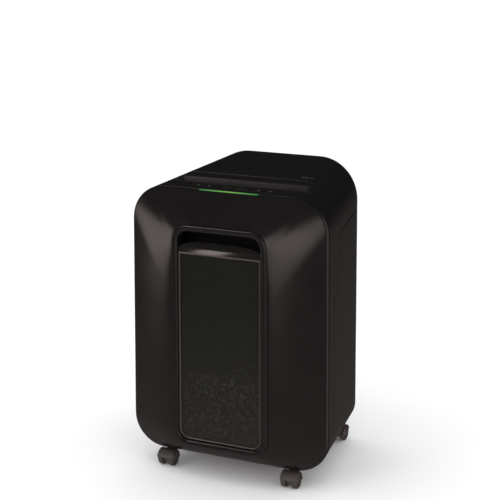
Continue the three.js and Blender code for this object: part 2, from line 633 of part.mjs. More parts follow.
function makeBinFront() {
  const { halfWidth, bottom, top, radius } = FRAME;
  const frameOutline = (inset) => (
    roundedRectangle(halfWidth - inset, bottom + inset, top - inset, radius - inset)
  );
  const coverFull = coverSkin(0, FRONT_Y);
  const boss = prismY(circle(BIN_SWITCH.x, BIN_SWITCH.z, BIN_SWITCH.boss), COVER_FACE_Y, FRONT_Y, 4);
  let cover = coverFull.subtract(coverSkin(WALL, FRONT_Y + 10)).add(boss.intersect(coverFull));
  cover = cover.subtract(prismY(frameOutline(-GAP), NOSE_Y - 5, FRONT_Y));
  cover = cover.subtract(box(-LED.halfLength - 1, LED.halfLength + 1, LED.frontY - 1, FRONT_Y + 10,
    LED.bottom - 1, 500));
  piece('bin_front_cover', cover, GLOSS_BLACK);

  const frame = prismY(frameOutline(0), NOSE_Y, FRAME_REAR_Y, 8)
    .subtract(prismY(frameOutline(FRAME_WIDTH), NOSE_Y - 1, FRAME_REAR_Y + 1, 8));
  // Two mouldings meet at the trim bar: one round the window and one round the handle.
  piece('window_frame', frame.intersect(box(-OUTSIDE, OUTSIDE, -150, FRONT_Y, 0, TRIM_BAR_Z)),
    GLOSS_BLACK);
  piece('handle_frame', frame.intersect(box(-OUTSIDE, OUTSIDE, -150, FRONT_Y, TRIM_BAR_Z + GAP, 600)),
    GLOSS_BLACK);

  const inner = FRAME_WIDTH + GAP;
  const trimOuter = roundedRectangle(halfWidth - inner, bottom + inner, TRIM_BAR_Z, radius - inner, 1);
  const trimInner = roundedRectangle(halfWidth - inner - TRIM_WIDTH, bottom + inner + TRIM_WIDTH,
    TRIM_BAR_Z - TRIM_BAR_HEIGHT, radius - inner - TRIM_WIDTH, 1);
  const trim = prismY(trimOuter, -136.5, -130.5, 6).subtract(prismY(trimInner, -140, -120, 6));
  piece('window_trim', trim, TRIM_GREY);

  const edge = inner + TRIM_WIDTH + GAP;
  const paneTop = TRIM_BAR_Z - TRIM_BAR_HEIGHT - GAP;
  const pane = roundedRectangle(halfWidth - edge, bottom + edge, paneTop, radius - edge, 1);
  piece('window_pane', prismY(pane, -134.5, -131.5, 6), WINDOW_SMOKE);

  // The grip lip is a curved sheet whose upper edge is an arch.
  const lipBase = TRIM_BAR_Z + GAP;
  const lipHalf = halfWidth - inner;
  const crestZ = (u) => (
    lipBase + 3 + (LIP_HEIGHT - 3) * (1 - Math.abs(u) ** LIP_FULLNESS) ** (1 / LIP_FULLNESS)
  );
  const arch = new THREE.Shape();
  arch.moveTo(-lipHalf, lipBase);
  arch.lineTo(lipHalf, lipBase);
  for (let i = 0; i <= 24; i += 1) {
    const u = Math.cos((Math.PI * i) / 24);
    arch.lineTo(lipHalf * u, crestZ(u));
  }
  const sheet = (r) => rod(-OUTSIDE, OUTSIDE, LIP_AXIS.y, LIP_AXIS.z, r, 32);
  const bend = sheet(LIP_AXIS.radius).subtract(sheet(LIP_AXIS.radius - WALL));
  piece('grip_lip', prismY(arch, -150, LIP_AXIS.y, 8).intersect(bend), GLOSS_BLACK);

  // The finger pocket behind the lip, open to the front above it.
  const { rearY, bottom: pocketBottom, lipZ, wall } = SCOOP;
  const pocketHalf = halfWidth - inner;
  const pocketTop = top - FRAME_WIDTH + wall;
  const frontY = FRAME_REAR_Y + 1;
  const pocket = box(-pocketHalf, pocketHalf, frontY, rearY, pocketBottom, pocketTop)
    .subtract(box(-pocketHalf + wall, pocketHalf - wall, frontY + wall, rearY - wall,
      pocketBottom + wall, pocketTop - wall))
    .subtract(box(-pocketHalf + wall, pocketHalf - wall, frontY - 1, frontY + wall + 1,
      lipZ, pocketTop - wall));
  piece('handle_scoop', pocket, INNER_BLACK);
}

// The tub: a tapered box with a narrower nose that reaches the window.
function makeTub() {
  const { frontY, rearY, bottom, top, frontHalf, rearHalf, wall } = TUB;
  const bottomRadius = 24;
  const section = (halfWidth, inset, topZ) => ({
    halfWidth: halfWidth - inset,
    bottom: bottom + inset,
    top: topZ,
    bottomRadius: bottomRadius - inset,
    topRadius: 1,
  });
  const main = (inset, topZ) => loft([
    ring(frontY + inset, section(frontHalf, inset, topZ)),
    ring(rearY - inset, section(rearHalf, inset, topZ)),
  ]);
  const nose = TUB_NOSE;
  const noseBlock = (inset, topZ, backY) => prismY(
    roundedRectangle(nose.halfWidth - inset, bottom + inset, topZ, 12 - inset, 1),
    nose.frontY + inset, backY,
  );
  const window = prismY(roundedRectangle(nose.windowHalf, nose.windowBottom, nose.windowTop, 10),
    nose.frontY - 5, nose.frontY + 10);
  const tub = union(main(0, top), noseBlock(0, top, frontY + 1))
    .subtract(main(wall, top + 40))
    .subtract(noseBlock(wall, top + 40, frontY + 10))
    .subtract(window);
  piece('bin_tub', tub, INNER_BLACK);
}

// ---------------------------------------------------------------- casters

// One twin-wheel swivel caster, drawn with its stem on the origin and its wheels in front of it.
function makeCaster(name, x, y, turn) {
  const caster = new THREE.Group();
  caster.position.set(x, y, 0);
  caster.rotation.z = turn;
  shredder.add(caster);
  const { radius, halfTrack, innerX, segments } = TYRE;
  const wheelY = -CASTER.trail;

  const guard = prismX(circle(wheelY, radius, HOOD.radius), -halfTrack, halfTrack, 10);
  const keep = box(-halfTrack - 1, halfTrack + 1, wheelY - 10, 20, radius - 3, 40);
  const web = prismX(circle(wheelY, radius, 8), -innerX + 0.6, innerX - 0.6, 8);
  const collar = post(0, 0, radius + 4, HOOD.top, HOOD.collar, 20);
  let hood = union(guard.intersect(keep), web, collar);
  for (const side of [-1, 1]) {
    const start = side < 0 ? -halfTrack - 5 : innerX - 0.6;
    hood = hood.subtract(rod(start, start + halfTrack + 5.6 - innerX, wheelY, radius, HOOD.clearance, 28));
  }
  hood = hood.subtract(rod(-20, 20, wheelY, radius, AXLE_RADIUS + GAP));
  hood = hood.add(post(0, 0, radius + 8, STEM.top, STEM.radius, 16));
  piece(`${name}_caster_hood`, hood, CASTER_GREY, caster);

  const boreEnd = innerX + 7;
  const axle = rod(-boreEnd + GAP, boreEnd - GAP, wheelY, radius, AXLE_RADIUS, 12);
  piece(`${name}_caster_axle`, axle, STEEL, caster);

  // The tread's flats touch the floor, so its corners stand a little further out.
  const tread = radius / Math.cos(Math.PI / segments);
  const bore = AXLE_RADIUS + GAP;
  for (const [label, side] of [['left', -1], ['right', 1]]) {
    const profile = [[boreEnd, 0], [boreEnd, bore], [innerX, bore], [innerX, tread - 1], [innerX + 1, tread],
      [halfTrack - 1.6, tread], [halfTrack, tread - 2], [halfTrack, 0]];
    const wheel = turned(profile.map(([px, pr]) => [side * px, pr]), wheelY, radius, segments);
    piece(`${name}_caster_${label}_wheel`, wheel, CASTER_GREY, caster);
  }
}

makeHousing();
makeBase();
makeThroat();
makeControls();
makeCuttingFrame();
makeDrive();
makeElectrics();
makeBinFront();
makeTub();
for (const [x, y] of casterPlaces()) {
  const name = `${y < 0 ? 'front' : 'rear'}_${x < 0 ? 'left' : 'right'}`;
  makeCaster(name, x, y, y < 0 ? 0 : Math.PI);
}

export default shredder;
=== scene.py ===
import math

import bmesh
import bpy
from mathutils import Matrix, Vector


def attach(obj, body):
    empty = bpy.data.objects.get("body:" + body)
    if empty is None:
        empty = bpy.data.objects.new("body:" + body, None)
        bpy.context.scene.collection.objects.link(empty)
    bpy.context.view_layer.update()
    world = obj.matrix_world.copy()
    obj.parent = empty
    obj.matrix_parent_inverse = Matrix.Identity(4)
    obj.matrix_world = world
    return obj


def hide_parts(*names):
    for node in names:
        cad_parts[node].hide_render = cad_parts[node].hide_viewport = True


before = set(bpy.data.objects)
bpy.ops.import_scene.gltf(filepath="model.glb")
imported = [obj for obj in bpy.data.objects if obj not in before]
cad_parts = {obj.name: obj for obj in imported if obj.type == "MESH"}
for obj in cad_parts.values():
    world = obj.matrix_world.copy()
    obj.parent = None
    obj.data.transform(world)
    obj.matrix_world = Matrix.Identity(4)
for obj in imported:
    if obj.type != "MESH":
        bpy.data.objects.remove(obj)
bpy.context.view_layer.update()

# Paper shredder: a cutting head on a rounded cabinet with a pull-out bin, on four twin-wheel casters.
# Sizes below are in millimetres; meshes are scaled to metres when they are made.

MM = 0.001

# Cabinet envelope: (half width, bottom, top, bottom corner radius, top corner radius).
FRONT_Y, REAR_Y = -98.0, 140.0
FRONT = (172.5, 30.0, 479.0, 55.0, 55.0)
REAR = (134.5, 30.0, 504.5, 40.0, 70.0)
REAR_ROUND = 14.0
SPREAD, SPREAD_Z = 0.00008, 258.0
WALL = 2.6
GAP = 0.35
SEAM = 1.3
SEAM_ROUND = 0.9

# Joints between the housing pieces.
HOUSING_FRONT_Y, BEZEL_FRONT_Y = -96.5, -95.0
BAND_REAR_Y, BAND_SIDE_Z = -11.0, 366.0
STRIP_REAR_Y, STRIP_TOP_Z = -62.0, 307.0
PARTING_FRONT_Z, PARTING_REAR_Z = 412.0, 420.5

# Bin front.
WINDOW_FRAME = (83.4, 56.3, 429.4, 28.5, 28.5)
FRAME_WIDTH = 10.8
NOSE_Y, FRAME_REAR_Y, COVER_FACE_Y = -140.0, -131.0, -136.0
RIM_DEPTH, RIM_PART = 4.5, 0.03
FAN_SHARE, FAN_DROP = 0.3, 85.0
FLAT_FACET, FULL_WING = 1.04, 1.35
TRIM_TOP, TRIM_WIDTH, TRIM_BAR = 384.6, 3.2, 4.0
LIP_AXIS, LIP_HEIGHT, LIP_FULLNESS, LIP_BOW = (-108.0, 380.0, 28.5), 17.0, 2.6, 3.2

# Controls and paper throat.
THROAT_Y, THROAT = -50.0, (124.0, 17.0)
SLOT = (113.0, 4.0)
BUTTON_X, BUTTON_Y, BUTTON = 13.0, -80.0, (10.3, 7.0)
LIGHT_HALF, LIGHT_Y = 50.5, (-101.0, -96.8)
LIGHT_Z, LIGHT_BED_Z = (476.6, 479.2), 472.5
# The pin on the bin that closes the bin switch: its place across and its height.
PLUNGER_X, PLUNGER_Z = 138.0, 392.0

# Rear fittings.
SERVICE = (-62.0, 92.0, 46.0, 26.0)
SWITCH_X, SWITCH = -84.0, (11.0, 16.0)
GLAND_X, GLAND_RADIUS, GLAND_BORE = -40.0, 9.0, 4.0

# Casters: stem places, wheel trail and wheel sizes.
CASTERS = {"front_left": (-112.0, -88.0), "front_right": (112.0, -88.0),
           "rear_left": (-112.0, 104.0), "rear_right": (112.0, 104.0)}
TRAIL, WHEEL_RADIUS, HALF_TRACK, WHEEL_INNER = 15.0, 13.0, 14.3, 5.1


def lerp(a, b, t):
    return a + (b - a) * t


# ---------------------------------------------------------------- materials

def linear(code):
    """An sRGB hex colour as linear RGBA."""
    parts = [int(code[i:i + 2], 16) / 255 for i in (1, 3, 5)]
    return [c / 12.92 if c <= 0.04045 else ((c + 0.055) / 1.055) ** 2.4 for c in parts] + [1.0]


def add(tree, kind, inputs=None, **settings):
    """Adds a node with its settings; an input is a value, or another node's output to link."""
    node = tree.nodes.new(kind)
    for name, value in settings.items():
        setattr(node, name, value)
    for socket, value in (inputs or {}).items():
        if isinstance(value, bpy.types.NodeSocket):
            tree.links.new(value, node.inputs[socket])
        else:
            node.inputs[socket].default_value = value
    return node


def blank_material(name):
    """A material, its empty tree, and the place on the object that its patterns read."""
    material = bpy.data.materials.new(name)
    material.use_nodes = True
    tree = material.node_tree
    tree.nodes.clear()
    return material, tree, add(tree, "ShaderNodeTexCoord").outputs["Object"]


def principled(tree, inputs):
    shader = add(tree, "ShaderNodeBsdfPrincipled", inputs)
    add(tree, "ShaderNodeOutputMaterial", {"Surface": shader.outputs[0]})


def noise(tree, place, scale, detail=2.0):
    return add(tree, "ShaderNodeTexNoise", {"Vector": place, "Scale": scale, "Detail": detail}).outputs["Fac"]


def tones(tree, share, dark, light):
    """A colour between two; dark is a hex colour or another node's output."""
    start = linear(dark) if isinstance(dark, str) else dark
    return add(tree, "ShaderNodeMixRGB", {"Fac": share, "Color1": start,
                                          "Color2": linear(light)}).outputs["Color"]


def remap(tree, value, low, high, start=0.0, end=1.0):
    """low to high as the value goes from start to end."""
    return add(tree, "ShaderNodeMapRange", {"Value": value, "From Min": start, "From Max": end,
                                            "To Min": low, "To Max": high}).outputs["Result"]


def bump(tree, height, depth, strength=1.0):
    """A bump of a depth in millimetres."""
    return add(tree, "ShaderNodeBump", {"Height": height, "Distance": depth * MM,
                                        "Strength": strength}).outputs["Normal"]


# How far the melt's slow drift in colour and gloss reaches, in millimetres.
MELT_FLOW = 90.0


def moulded(name, dark, light, rough, grain, **shader):
    """Moulded plastic: colour and gloss drift slowly as the melt flowed, under a fine surface grain.

    rough is the lowest and highest roughness, grain is (size, depth) in millimetres.
    """
    material, tree, place = blank_material(name)
    drift = noise(tree, place, 1000 / MELT_FLOW, 3.0)
    fine = noise(tree, place, 1000 / grain[0])
    principled(tree, {"Base Color": tones(tree, drift, dark, light),
                      "Roughness": remap(tree, drift, *rough, 0.3, 0.7),
                      "Normal": bump(tree, fine, grain[1]), **shader})
    return material


def machined(name, dark, light, rough, stretch):
    """Metal with fine marks drawn out along one axis; stretch is how far each axis is squeezed."""
    material, tree, place = blank_material(name)
    along = add(tree, "ShaderNodeMapping", {"Vector": place, "Scale": stretch})
    marks = noise(tree, along.outputs["Vector"], 700.0, 4.0)
    principled(tree, {"Base Color": tones(tree, marks, dark, light), "Roughness": remap(tree, marks, *rough),
                      "Normal": bump(tree, marks, 0.02, 0.6), "Metallic": 1.0})
    return material


# ABS from a polished mould: near-black and warm, a soft gloss with a faint orange peel.
GLOSS_ABS = moulded("gloss_moulded_abs", "#0e0c0c", "#11100f", (0.22, 0.27), (3.2, 0.003), IOR=1.5)
# The same ABS from an etched mould: dull enough that edges catch the light and faces stay dark.
SATIN_ABS = moulded("satin_etched_abs", "#100e0e", "#141212", (0.36, 0.43), (0.9, 0.006), IOR=1.5)
# The grip's face, polished to a mirror in the mould.
POLISHED_ABS = moulded("polished_moulded_abs", "#121010", "#161413", (0.1, 0.14), (5.0, 0.002), IOR=1.5)
# Coarsely etched ABS inside the finger pocket, coloured near-black and with its gloss turned down as painted
# shade for the recess: it gives back almost no light.
POCKET_SHADE_ABS = moulded("etched_abs_painted_pocket_shade", "#080707", "#0c0b0a", (0.55, 0.65), (1.2, 0.01),
                     **{"Specular IOR Level": 0.12})
# Unseen mouldings in recycled polystyrene: flat and slightly mottled.
INNER_STYRENE = moulded("matt_moulded_styrene", "#171514", "#1f1c1b", (0.5, 0.62), (0.9, 0.03), IOR=1.5)
# Trim bead with a hard clear lacquer: mid grey, sharp bright lines along its crown.
TRIM_LACQUER = moulded("lacquered_grey_trim", "#494442", "#54504d", (0.14, 0.2), (4.0, 0.002), IOR=1.55,
                       Metallic=0.5)
# Twin-wheel caster nylon, filled with glass: dark warm grey with a dull sheen.
CASTER_NYLON = moulded("filled_moulded_nylon", "#383331", "#46403d", (0.42, 0.52), (0.8, 0.03), IOR=1.53)
# Unfilled nylon, as moulded for gears and rails: ivory and waxy.
PLAIN_NYLON = moulded("natural_moulded_nylon", "#cfcabb", "#dedacd", (0.42, 0.5), (1.2, 0.01), IOR=1.53)
# Cord bush in soft rubber: black and dead flat.
RUBBER = moulded("moulded_rubber", "#151414", "#1c1b1a", (0.7, 0.8), (0.5, 0.03), IOR=1.52)
# Cut and turned steel of the drive, with marks round or along the piece.
TURNED_STEEL = machined("turned_steel", "#8b8c8d", "#a3a4a5", (0.26, 0.42), (0.15, 1.0, 1.0))
# Pressed sheet steel of the side plates and the motor can, zinc plated.
SHEET_STEEL = machined("zinc_plated_steel", "#9a9b98", "#b4b4ae", (0.3, 0.46), (1.0, 0.2, 1.0))


def smoked_window():
    """Injection moulded polycarbonate with smoke dye: dark glass that shows what is close behind it."""
    material, tree, place = blank_material("smoked_polycarbonate")
    ripple = noise(tree, place, 14.0)
    principled(tree, {"Base Color": linear("#1e1f1b"), "Roughness": remap(tree, ripple, 0.06, 0.11),
                      "IOR": 1.58, "Normal": bump(tree, ripple, 0.05, 0.5), "Alpha": 0.58})
    return material


def lit_guide():
    """Acrylic light guide with lamps behind it: green, brightest over the two lamps near its middle."""
    material, tree, place = blank_material("lit_acrylic_guide")
    along = add(tree, "ShaderNodeSeparateXYZ", {"Vector": place})
    reach = add(tree, "ShaderNodeMath", {0: along.outputs["X"]}, operation="ABSOLUTE")
    glow = remap(tree, reach.outputs[0], 1.0, 0.0, 0.008, 0.05)
    principled(tree, {"Base Color": linear("#16301a"), "Roughness": 0.25, "IOR": 1.49,
                      "Emission Color": tones(tree, glow, "#2a7a40", "#6ca64a"), "Emission Strength": 0.95})
    return material


def printed_mark():
    """Pad-printed pale ink: thin, slightly broken over the grain under it."""
    material, tree, place = blank_material("pad_printed_ink")
    wear = noise(tree, place, 1800.0, 1.0)
    principled(tree, {"Base Color": tones(tree, wear, "#4a4847", "#6f6c6a"), "Roughness": 0.5})
    return material


def shredded_paper():
    """Office paper cut small: each chip has its own tone, from the dark of its print to pale grey. Where
    there is no chip tone, as on the heap's core, the darkest colour is painted shade between the chips.
    """
    material, tree, place = blank_material("cut_office_paper")
    tone = add(tree, "ShaderNodeAttribute", attribute_name="chip_tone")
    fibre = noise(tree, place, 900.0, 3.0)
    spread = add(tree, "ShaderNodeMath", {0: tone.outputs["Fac"], 1: 1.8}, operation="POWER")
    faint = add(tree, "ShaderNodeMath", {0: fibre, 1: 0.3}, operation="MULTIPLY")
    # The dark end is the dark of printed chips, and on the untoned core it is painted shade between the
    # chips.
    chip_tone_or_core_shade = tones(tree, spread.outputs[0], "#0e0d0d", "#b3aea6")
    principled(tree, {"Base Color": tones(tree, faint.outputs[0], chip_tone_or_core_shade, "#2b2927"), "Roughness": 0.85,
                      "Normal": bump(tree, fibre, 0.03)})
    return material


def circuit_laminate():
    """Glass-epoxy board under green solder resist: glossy, with darker copper lines showing through."""
    material, tree, place = blank_material("solder_resist_laminate")
    lines = add(tree, "ShaderNodeTexWave", {"Vector": place, "Scale": 60.0, "Distortion": 6.0, "Detail": 2.0})
    colour = tones(tree, lines.outputs["Fac"], "#143d28", "#1f5a3a")
    principled(tree, {"Base Color": colour, "Roughness": 0.35})
    return material


WINDOW = smoked_window()
LIGHT_GUIDE = lit_guide()
INK = printed_mark()
PAPER = shredded_paper()
BOARD = circuit_laminate()


# ---------------------------------------------------------------- mesh helpers

def new_object(name, verts, faces, material=None):
    """An object at the origin whose mesh holds its place; verts are in millimetres."""
    mesh = bpy.data.meshes.new(name)
    mesh.from_pydata([tuple(c * MM for c in v) for v in verts], [], faces)
    mesh.validate()
    if material:
        mesh.materials.append(material)
    obj = bpy.data.objects.new(name, mesh)
    bpy.context.scene.collection.objects.link(obj)
    return obj


def edit(obj, work):
    """Runs work on the object's mesh as a bmesh."""
    bm = bmesh.new()
    bm.from_mesh(obj.data)
    work(bm)
    bm.to_mesh(obj.data)
    bm.free()


def weld(obj):
    edit(obj, lambda bm: bmesh.ops.remove_doubles(bm, verts=bm.verts, dist=1e-6))


def face_out(obj):
    """Turns a closed mesh's faces outwards."""
    def work(bm):
        bmesh.ops.remove_doubles(bm, verts=bm.verts, dist=1e-6)
        bmesh.ops.recalc_face_normals(bm, faces=bm.faces)
        if bm.calc_volume(signed=True) < 0:
            bmesh.ops.reverse_faces(bm, faces=bm.faces)
    edit(obj, work)


def settle(obj):
    """Applies the modifiers, so that a plain mesh is left."""
    graph = bpy.context.evaluated_depsgraph_get()
    made = bpy.data.meshes.new_from_object(obj.evaluated_get(graph))
    obj.modifiers.clear()
    obj.data = made


def smooth(obj, angle=38.0):
    """Smooth shading with hard edges past the angle, weighted to the large faces."""
    def work(bm):
        for face in bm.faces:
            face.smooth = True
        for edge in bm.edges:
            edge.smooth = len(edge.link_faces) == 2 and edge.calc_face_angle(0) < math.radians(angle)
    edit(obj, work)
    weighted = obj.modifiers.new("weighted", "WEIGHTED_NORMAL")
    weighted.keep_sharp = True
    settle(obj)


def thicken(obj, thickness=WALL):
    wall = obj.modifiers.new("wall", "SOLIDIFY")
    wall.thickness = thickness * MM
    wall.offset = -1
    wall.use_even_offset = True


def soften(obj, width, segments=2, angle=38.0):
    round_edges = obj.modifiers.new("edges", "BEVEL")
    round_edges.width = width * MM
    round_edges.segments = segments
    round_edges.limit_method = "ANGLE"
    round_edges.angle_limit = math.radians(angle)


def cut(obj, cutters):
    """Takes the cutters' shapes out of the object and deletes them."""
    settle(obj)
    for cutter in cutters:
        face_out(cutter)
        hole = obj.modifiers.new("hole", "BOOLEAN")
        hole.operation = "DIFFERENCE"
        hole.solver = "MANIFOLD"
        hole.object = cutter
        settle(obj)
        bpy.data.objects.remove(cutter)


def place_piece(obj, body, slot, *nodes):
    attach(obj, body)
    if nodes:
        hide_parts(*nodes)


def join(name, pieces):
    """One object from several, keeping their materials."""
    verts, faces, slots, materials = [], [], [], []
    for obj in pieces:
        start = len(verts)
        chip_tone_or_core_shade = list(obj.data.materials)
        for m in chip_tone_or_core_shade:
            if m not in materials:
                materials.append(m)
        verts += [tuple(v.co / MM) for v in obj.data.vertices]
        for face in obj.data.polygons:
            faces.append([start + i for i in face.vertices])
            slots.append(materials.index(chip_tone_or_core_shade[face.material_index]))
        bpy.data.objects.remove(obj)
    made = new_object(name, verts, faces)
    for m in materials:
        made.data.materials.append(m)
    for face, index in zip(made.data.polygons, slots):
        face.material_index = index
    return made


def sheet(name, rows, material, ring=True):
    """Four-sided faces over rows of points; ring joins the ends of each row."""
    count = len(rows[0])
    faces = []
    for r in range(len(rows) - 1):
        for s in range(count if ring else count - 1):
            n = (s + 1) % count
            faces.append((r * count + s, r * count + n, (r + 1) * count + n, (r + 1) * count + s))
    return new_object(name, [p for row in rows for p in row], faces, material)


def hoop(name, rows, material):
    """A closed ring-shaped solid: closed rows of points, the last joined to the first."""
    obj = sheet(name, rows + [rows[0]], material)
    face_out(obj)
    return obj


def capped(name, rows, material):
    """A solid over closed rows of points, with a flat face at each end."""
    count = len(rows[0])
    obj = sheet(name, rows, material)

    def work(bm):
        bm.verts.ensure_lookup_table()
        bm.faces.new([bm.verts[i] for i in range(count)])
        bm.faces.new([bm.verts[len(bm.verts) - count + i] for i in range(count)])
    edit(obj, work)
    face_out(obj)
    return obj


def turned(name, profile, centre, material, axis="X", segments=48):
    """A solid of revolution from (along, radius) points that start and end on the axis."""
    def spot(t, r, a):
        u, v = r * math.cos(a), r * math.sin(a)
        dx, dy, dz = {"X": (t, u, v), "Y": (u, t, v), "Z": (u, v, t)}[axis]
        return centre[0] + dx, centre[1] + dy, centre[2] + dz

    rows = [[spot(t, r, 2 * math.pi * i / segments) for t, r in profile] for i in range(segments)]
    obj = sheet(name, rows + [rows[0]], material, ring=False)
    face_out(obj)
    return obj


def slab(name, outline, axis, start, end, material=None):
    """A flat outline given a thickness along an axis; the outline is in the other two axes, in order."""
    def spot(a, b, t):
        return {"X": (t, a, b), "Y": (a, t, b), "Z": (a, b, t)}[axis]
    return capped(name, [[spot(a, b, t) for a, b in outline] for t in (start, end)], material)


def rounded(half_width, half_height, radius, steps=6, centre=(0.0, 0.0)):
    """A rounded rectangle's outline."""
    points = []
    for k, (sx, sy) in enumerate([(1, 1), (-1, 1), (-1, -1), (1, -1)]):
        for i in range(steps + 1):
            a = math.pi / 2 * (k + i / steps)
            points.append((centre[0] + sx * (half_width - radius) + radius * math.cos(a),
                           centre[1] + sy * (half_height - radius) + radius * math.sin(a)))
    return points


def ellipse(half_width, half_height, centre=(0.0, 0.0), steps=40):
    return [(centre[0] + half_width * math.cos(2 * math.pi * i / steps),
             centre[1] + half_height * math.sin(2 * math.pi * i / steps)) for i in range(steps)]


def racetrack(half_length, half_depth, steps=16, straight=12):
    """A bar with round ends in plan, centred on the throat."""
    reach = half_length - half_depth
    points = []
    for side in (1, -1):
        for i in range(steps):
            a = -math.pi / 2 + math.pi * i / steps
            points.append((side * (reach + half_depth * math.cos(a)),
                           THROAT_Y + side * half_depth * math.sin(a)))
        for i in range(straight):
            points.append((side * lerp(reach, -reach, i / straight), THROAT_Y + side * half_depth))
    return points


# ---------------------------------------------------------------- sections of the envelope

def body_section(y, inset=0.0):
    """The cabinet's section at a depth, moved inwards by inset."""
    t = (y - FRONT_Y) / (REAR_Y - FRONT_Y)
    half, low, high, low_radius, high_radius = (lerp(a, b, t) for a, b in zip(FRONT, REAR))
    return half - inset, low + inset, high - inset, low_radius - inset, high_radius - inset


def parting_z(y):
    """Height of the joint between the head cover and the cabinet."""
    return lerp(PARTING_FRONT_Z, PARTING_REAR_Z, (y - BAND_REAR_Y - SEAM) / (150.0 - BAND_REAR_Y - SEAM))


def section_point(section, spot, y=0.0):
    """(x, z) of a spot on a rounded section. A spot is a part of the outline and a share or a height."""
    half, low, high, low_radius, high_radius = section
    part, f = spot
    side = -1 if "left" in part else 1
    turn = f * math.pi / 2
    if part == "top":
        x, z = f * (half - high_radius), high
    elif part == "bottom":
        x, z = f * (half - low_radius), low
    elif part in ("top_left", "top_right"):
        x = side * (half - high_radius + high_radius * math.sin(turn))
        z = high - high_radius * (1 - math.cos(turn))
    elif part in ("bottom_left", "bottom_right"):
        x = side * (half - low_radius + low_radius * math.cos(turn))
        z = low + low_radius * (1 - math.sin(turn))
    elif part.endswith("_at"):
        x, z = side * half, f
    elif part.endswith("_over"):
        x, z = side * half, lerp(parting_z(y), high - high_radius, f)
    elif part.endswith("_under"):
        x, z = side * half, parting_z(y) - SEAM
    else:
        x, z = side * half, lerp(high - high_radius, low + low_radius, f)
    return x * (1 + SPREAD * (SPREAD_Z - z)), z


def steps(part, start, end, count):
    """Spots along a part of the outline, without the last one."""
    return [(part, lerp(start, end, i / count)) for i in range(count)]


def top_spots(corner=14, flat=24):
    return steps("top_left", 1, 0, corner) + steps("top", -1, 1, flat) + steps("top_right", 0, 1, corner)


def bottom_spots(corner=14, flat=16):
    return (steps("bottom_right", 0, 1, corner) + steps("bottom", 1, -1, flat)
            + steps("bottom_left", 1, 0, corner) + [("bottom_left", 0.0)])


def around(side=40, corner=16, flat=28):
    """Spots all the way round, clockwise seen from the front."""
    return (top_spots(corner, flat) + steps("right", 0, 1, side) + steps("bottom_right", 0, 1, corner)
            + steps("bottom", 1, -1, flat) + steps("bottom_left", 1, 0, corner) + steps("left", 1, 0, side))


def skin_z(x, y):
    """Height of the top of the envelope."""
    half, _, high, _, radius = body_section(y)
    over = abs(x) / (1 + SPREAD * (SPREAD_Z - high)) - (half - radius)
    return high if over <= 0 else high - radius + math.sqrt(max(radius ** 2 - over ** 2, 0))


def ring_row(section, spots, y):
    return [(x, y, z) for x, z in (section_point(section, spot, y) for spot in spots)]


# ---------------------------------------------------------------- housing shells

SIDE_HEIGHTS = [403, 390, 378, 366, 352, 338, 322, 307, 280, 245, 210, 175, 140, 115, 95]


def band_rear_y(z):
    """Rear edge of the front bezel: a wide band at the top that narrows to a strip."""
    if z >= BAND_SIDE_Z:
        return BAND_REAR_Y
    if z <= STRIP_TOP_Z:
        return STRIP_REAR_Y
    return lerp(STRIP_REAR_Y, BAND_REAR_Y, (z - STRIP_TOP_Z) / (BAND_SIDE_Z - STRIP_TOP_Z))


def shell_column(spot, start, end, count):
    """Points on the envelope from one depth to another at one spot."""
    points = []
    for i in range(count + 1):
        y = lerp(start, end, i / count)
        x, z = section_point(body_section(y), spot, y)
        points.append((x, y, z))
    return points


def rear_column(spot, centre_z):
    """The rounded turn onto the rear face and across it to its middle, at one spot."""
    points = []
    for i in range(1, 9):
        turn = math.pi / 2 * i / 8
        y = REAR_Y - REAR_ROUND * (1 - math.sin(turn))
        x, z = section_point(body_section(y, REAR_ROUND * (1 - math.cos(turn))), spot, y)
        points.append((x, y, z))
    edge = points[-1]
    for share in (0.75, 0.5, 0.25, 0.0):
        points.append((edge[0] * share, REAR_Y, lerp(centre_z, edge[2], share)))
    return points


def stem_cutters(places):
    hole = [(-20, 0), (-20, 7), (20, 7), (20, 0)]
    return [turned("stem_hole", hole, (x, y, 40), None, "Z", 32) for x, y in places]


def light_cutter(front, rear, low, room):
    """A block that clears the status light and all above it, with room at each end."""
    outline = [(front, low), (rear, low), (rear, 500), (front, 500)]
    return slab("light_hole", outline, "X", -LIGHT_HALF - room, LIGHT_HALF + room)


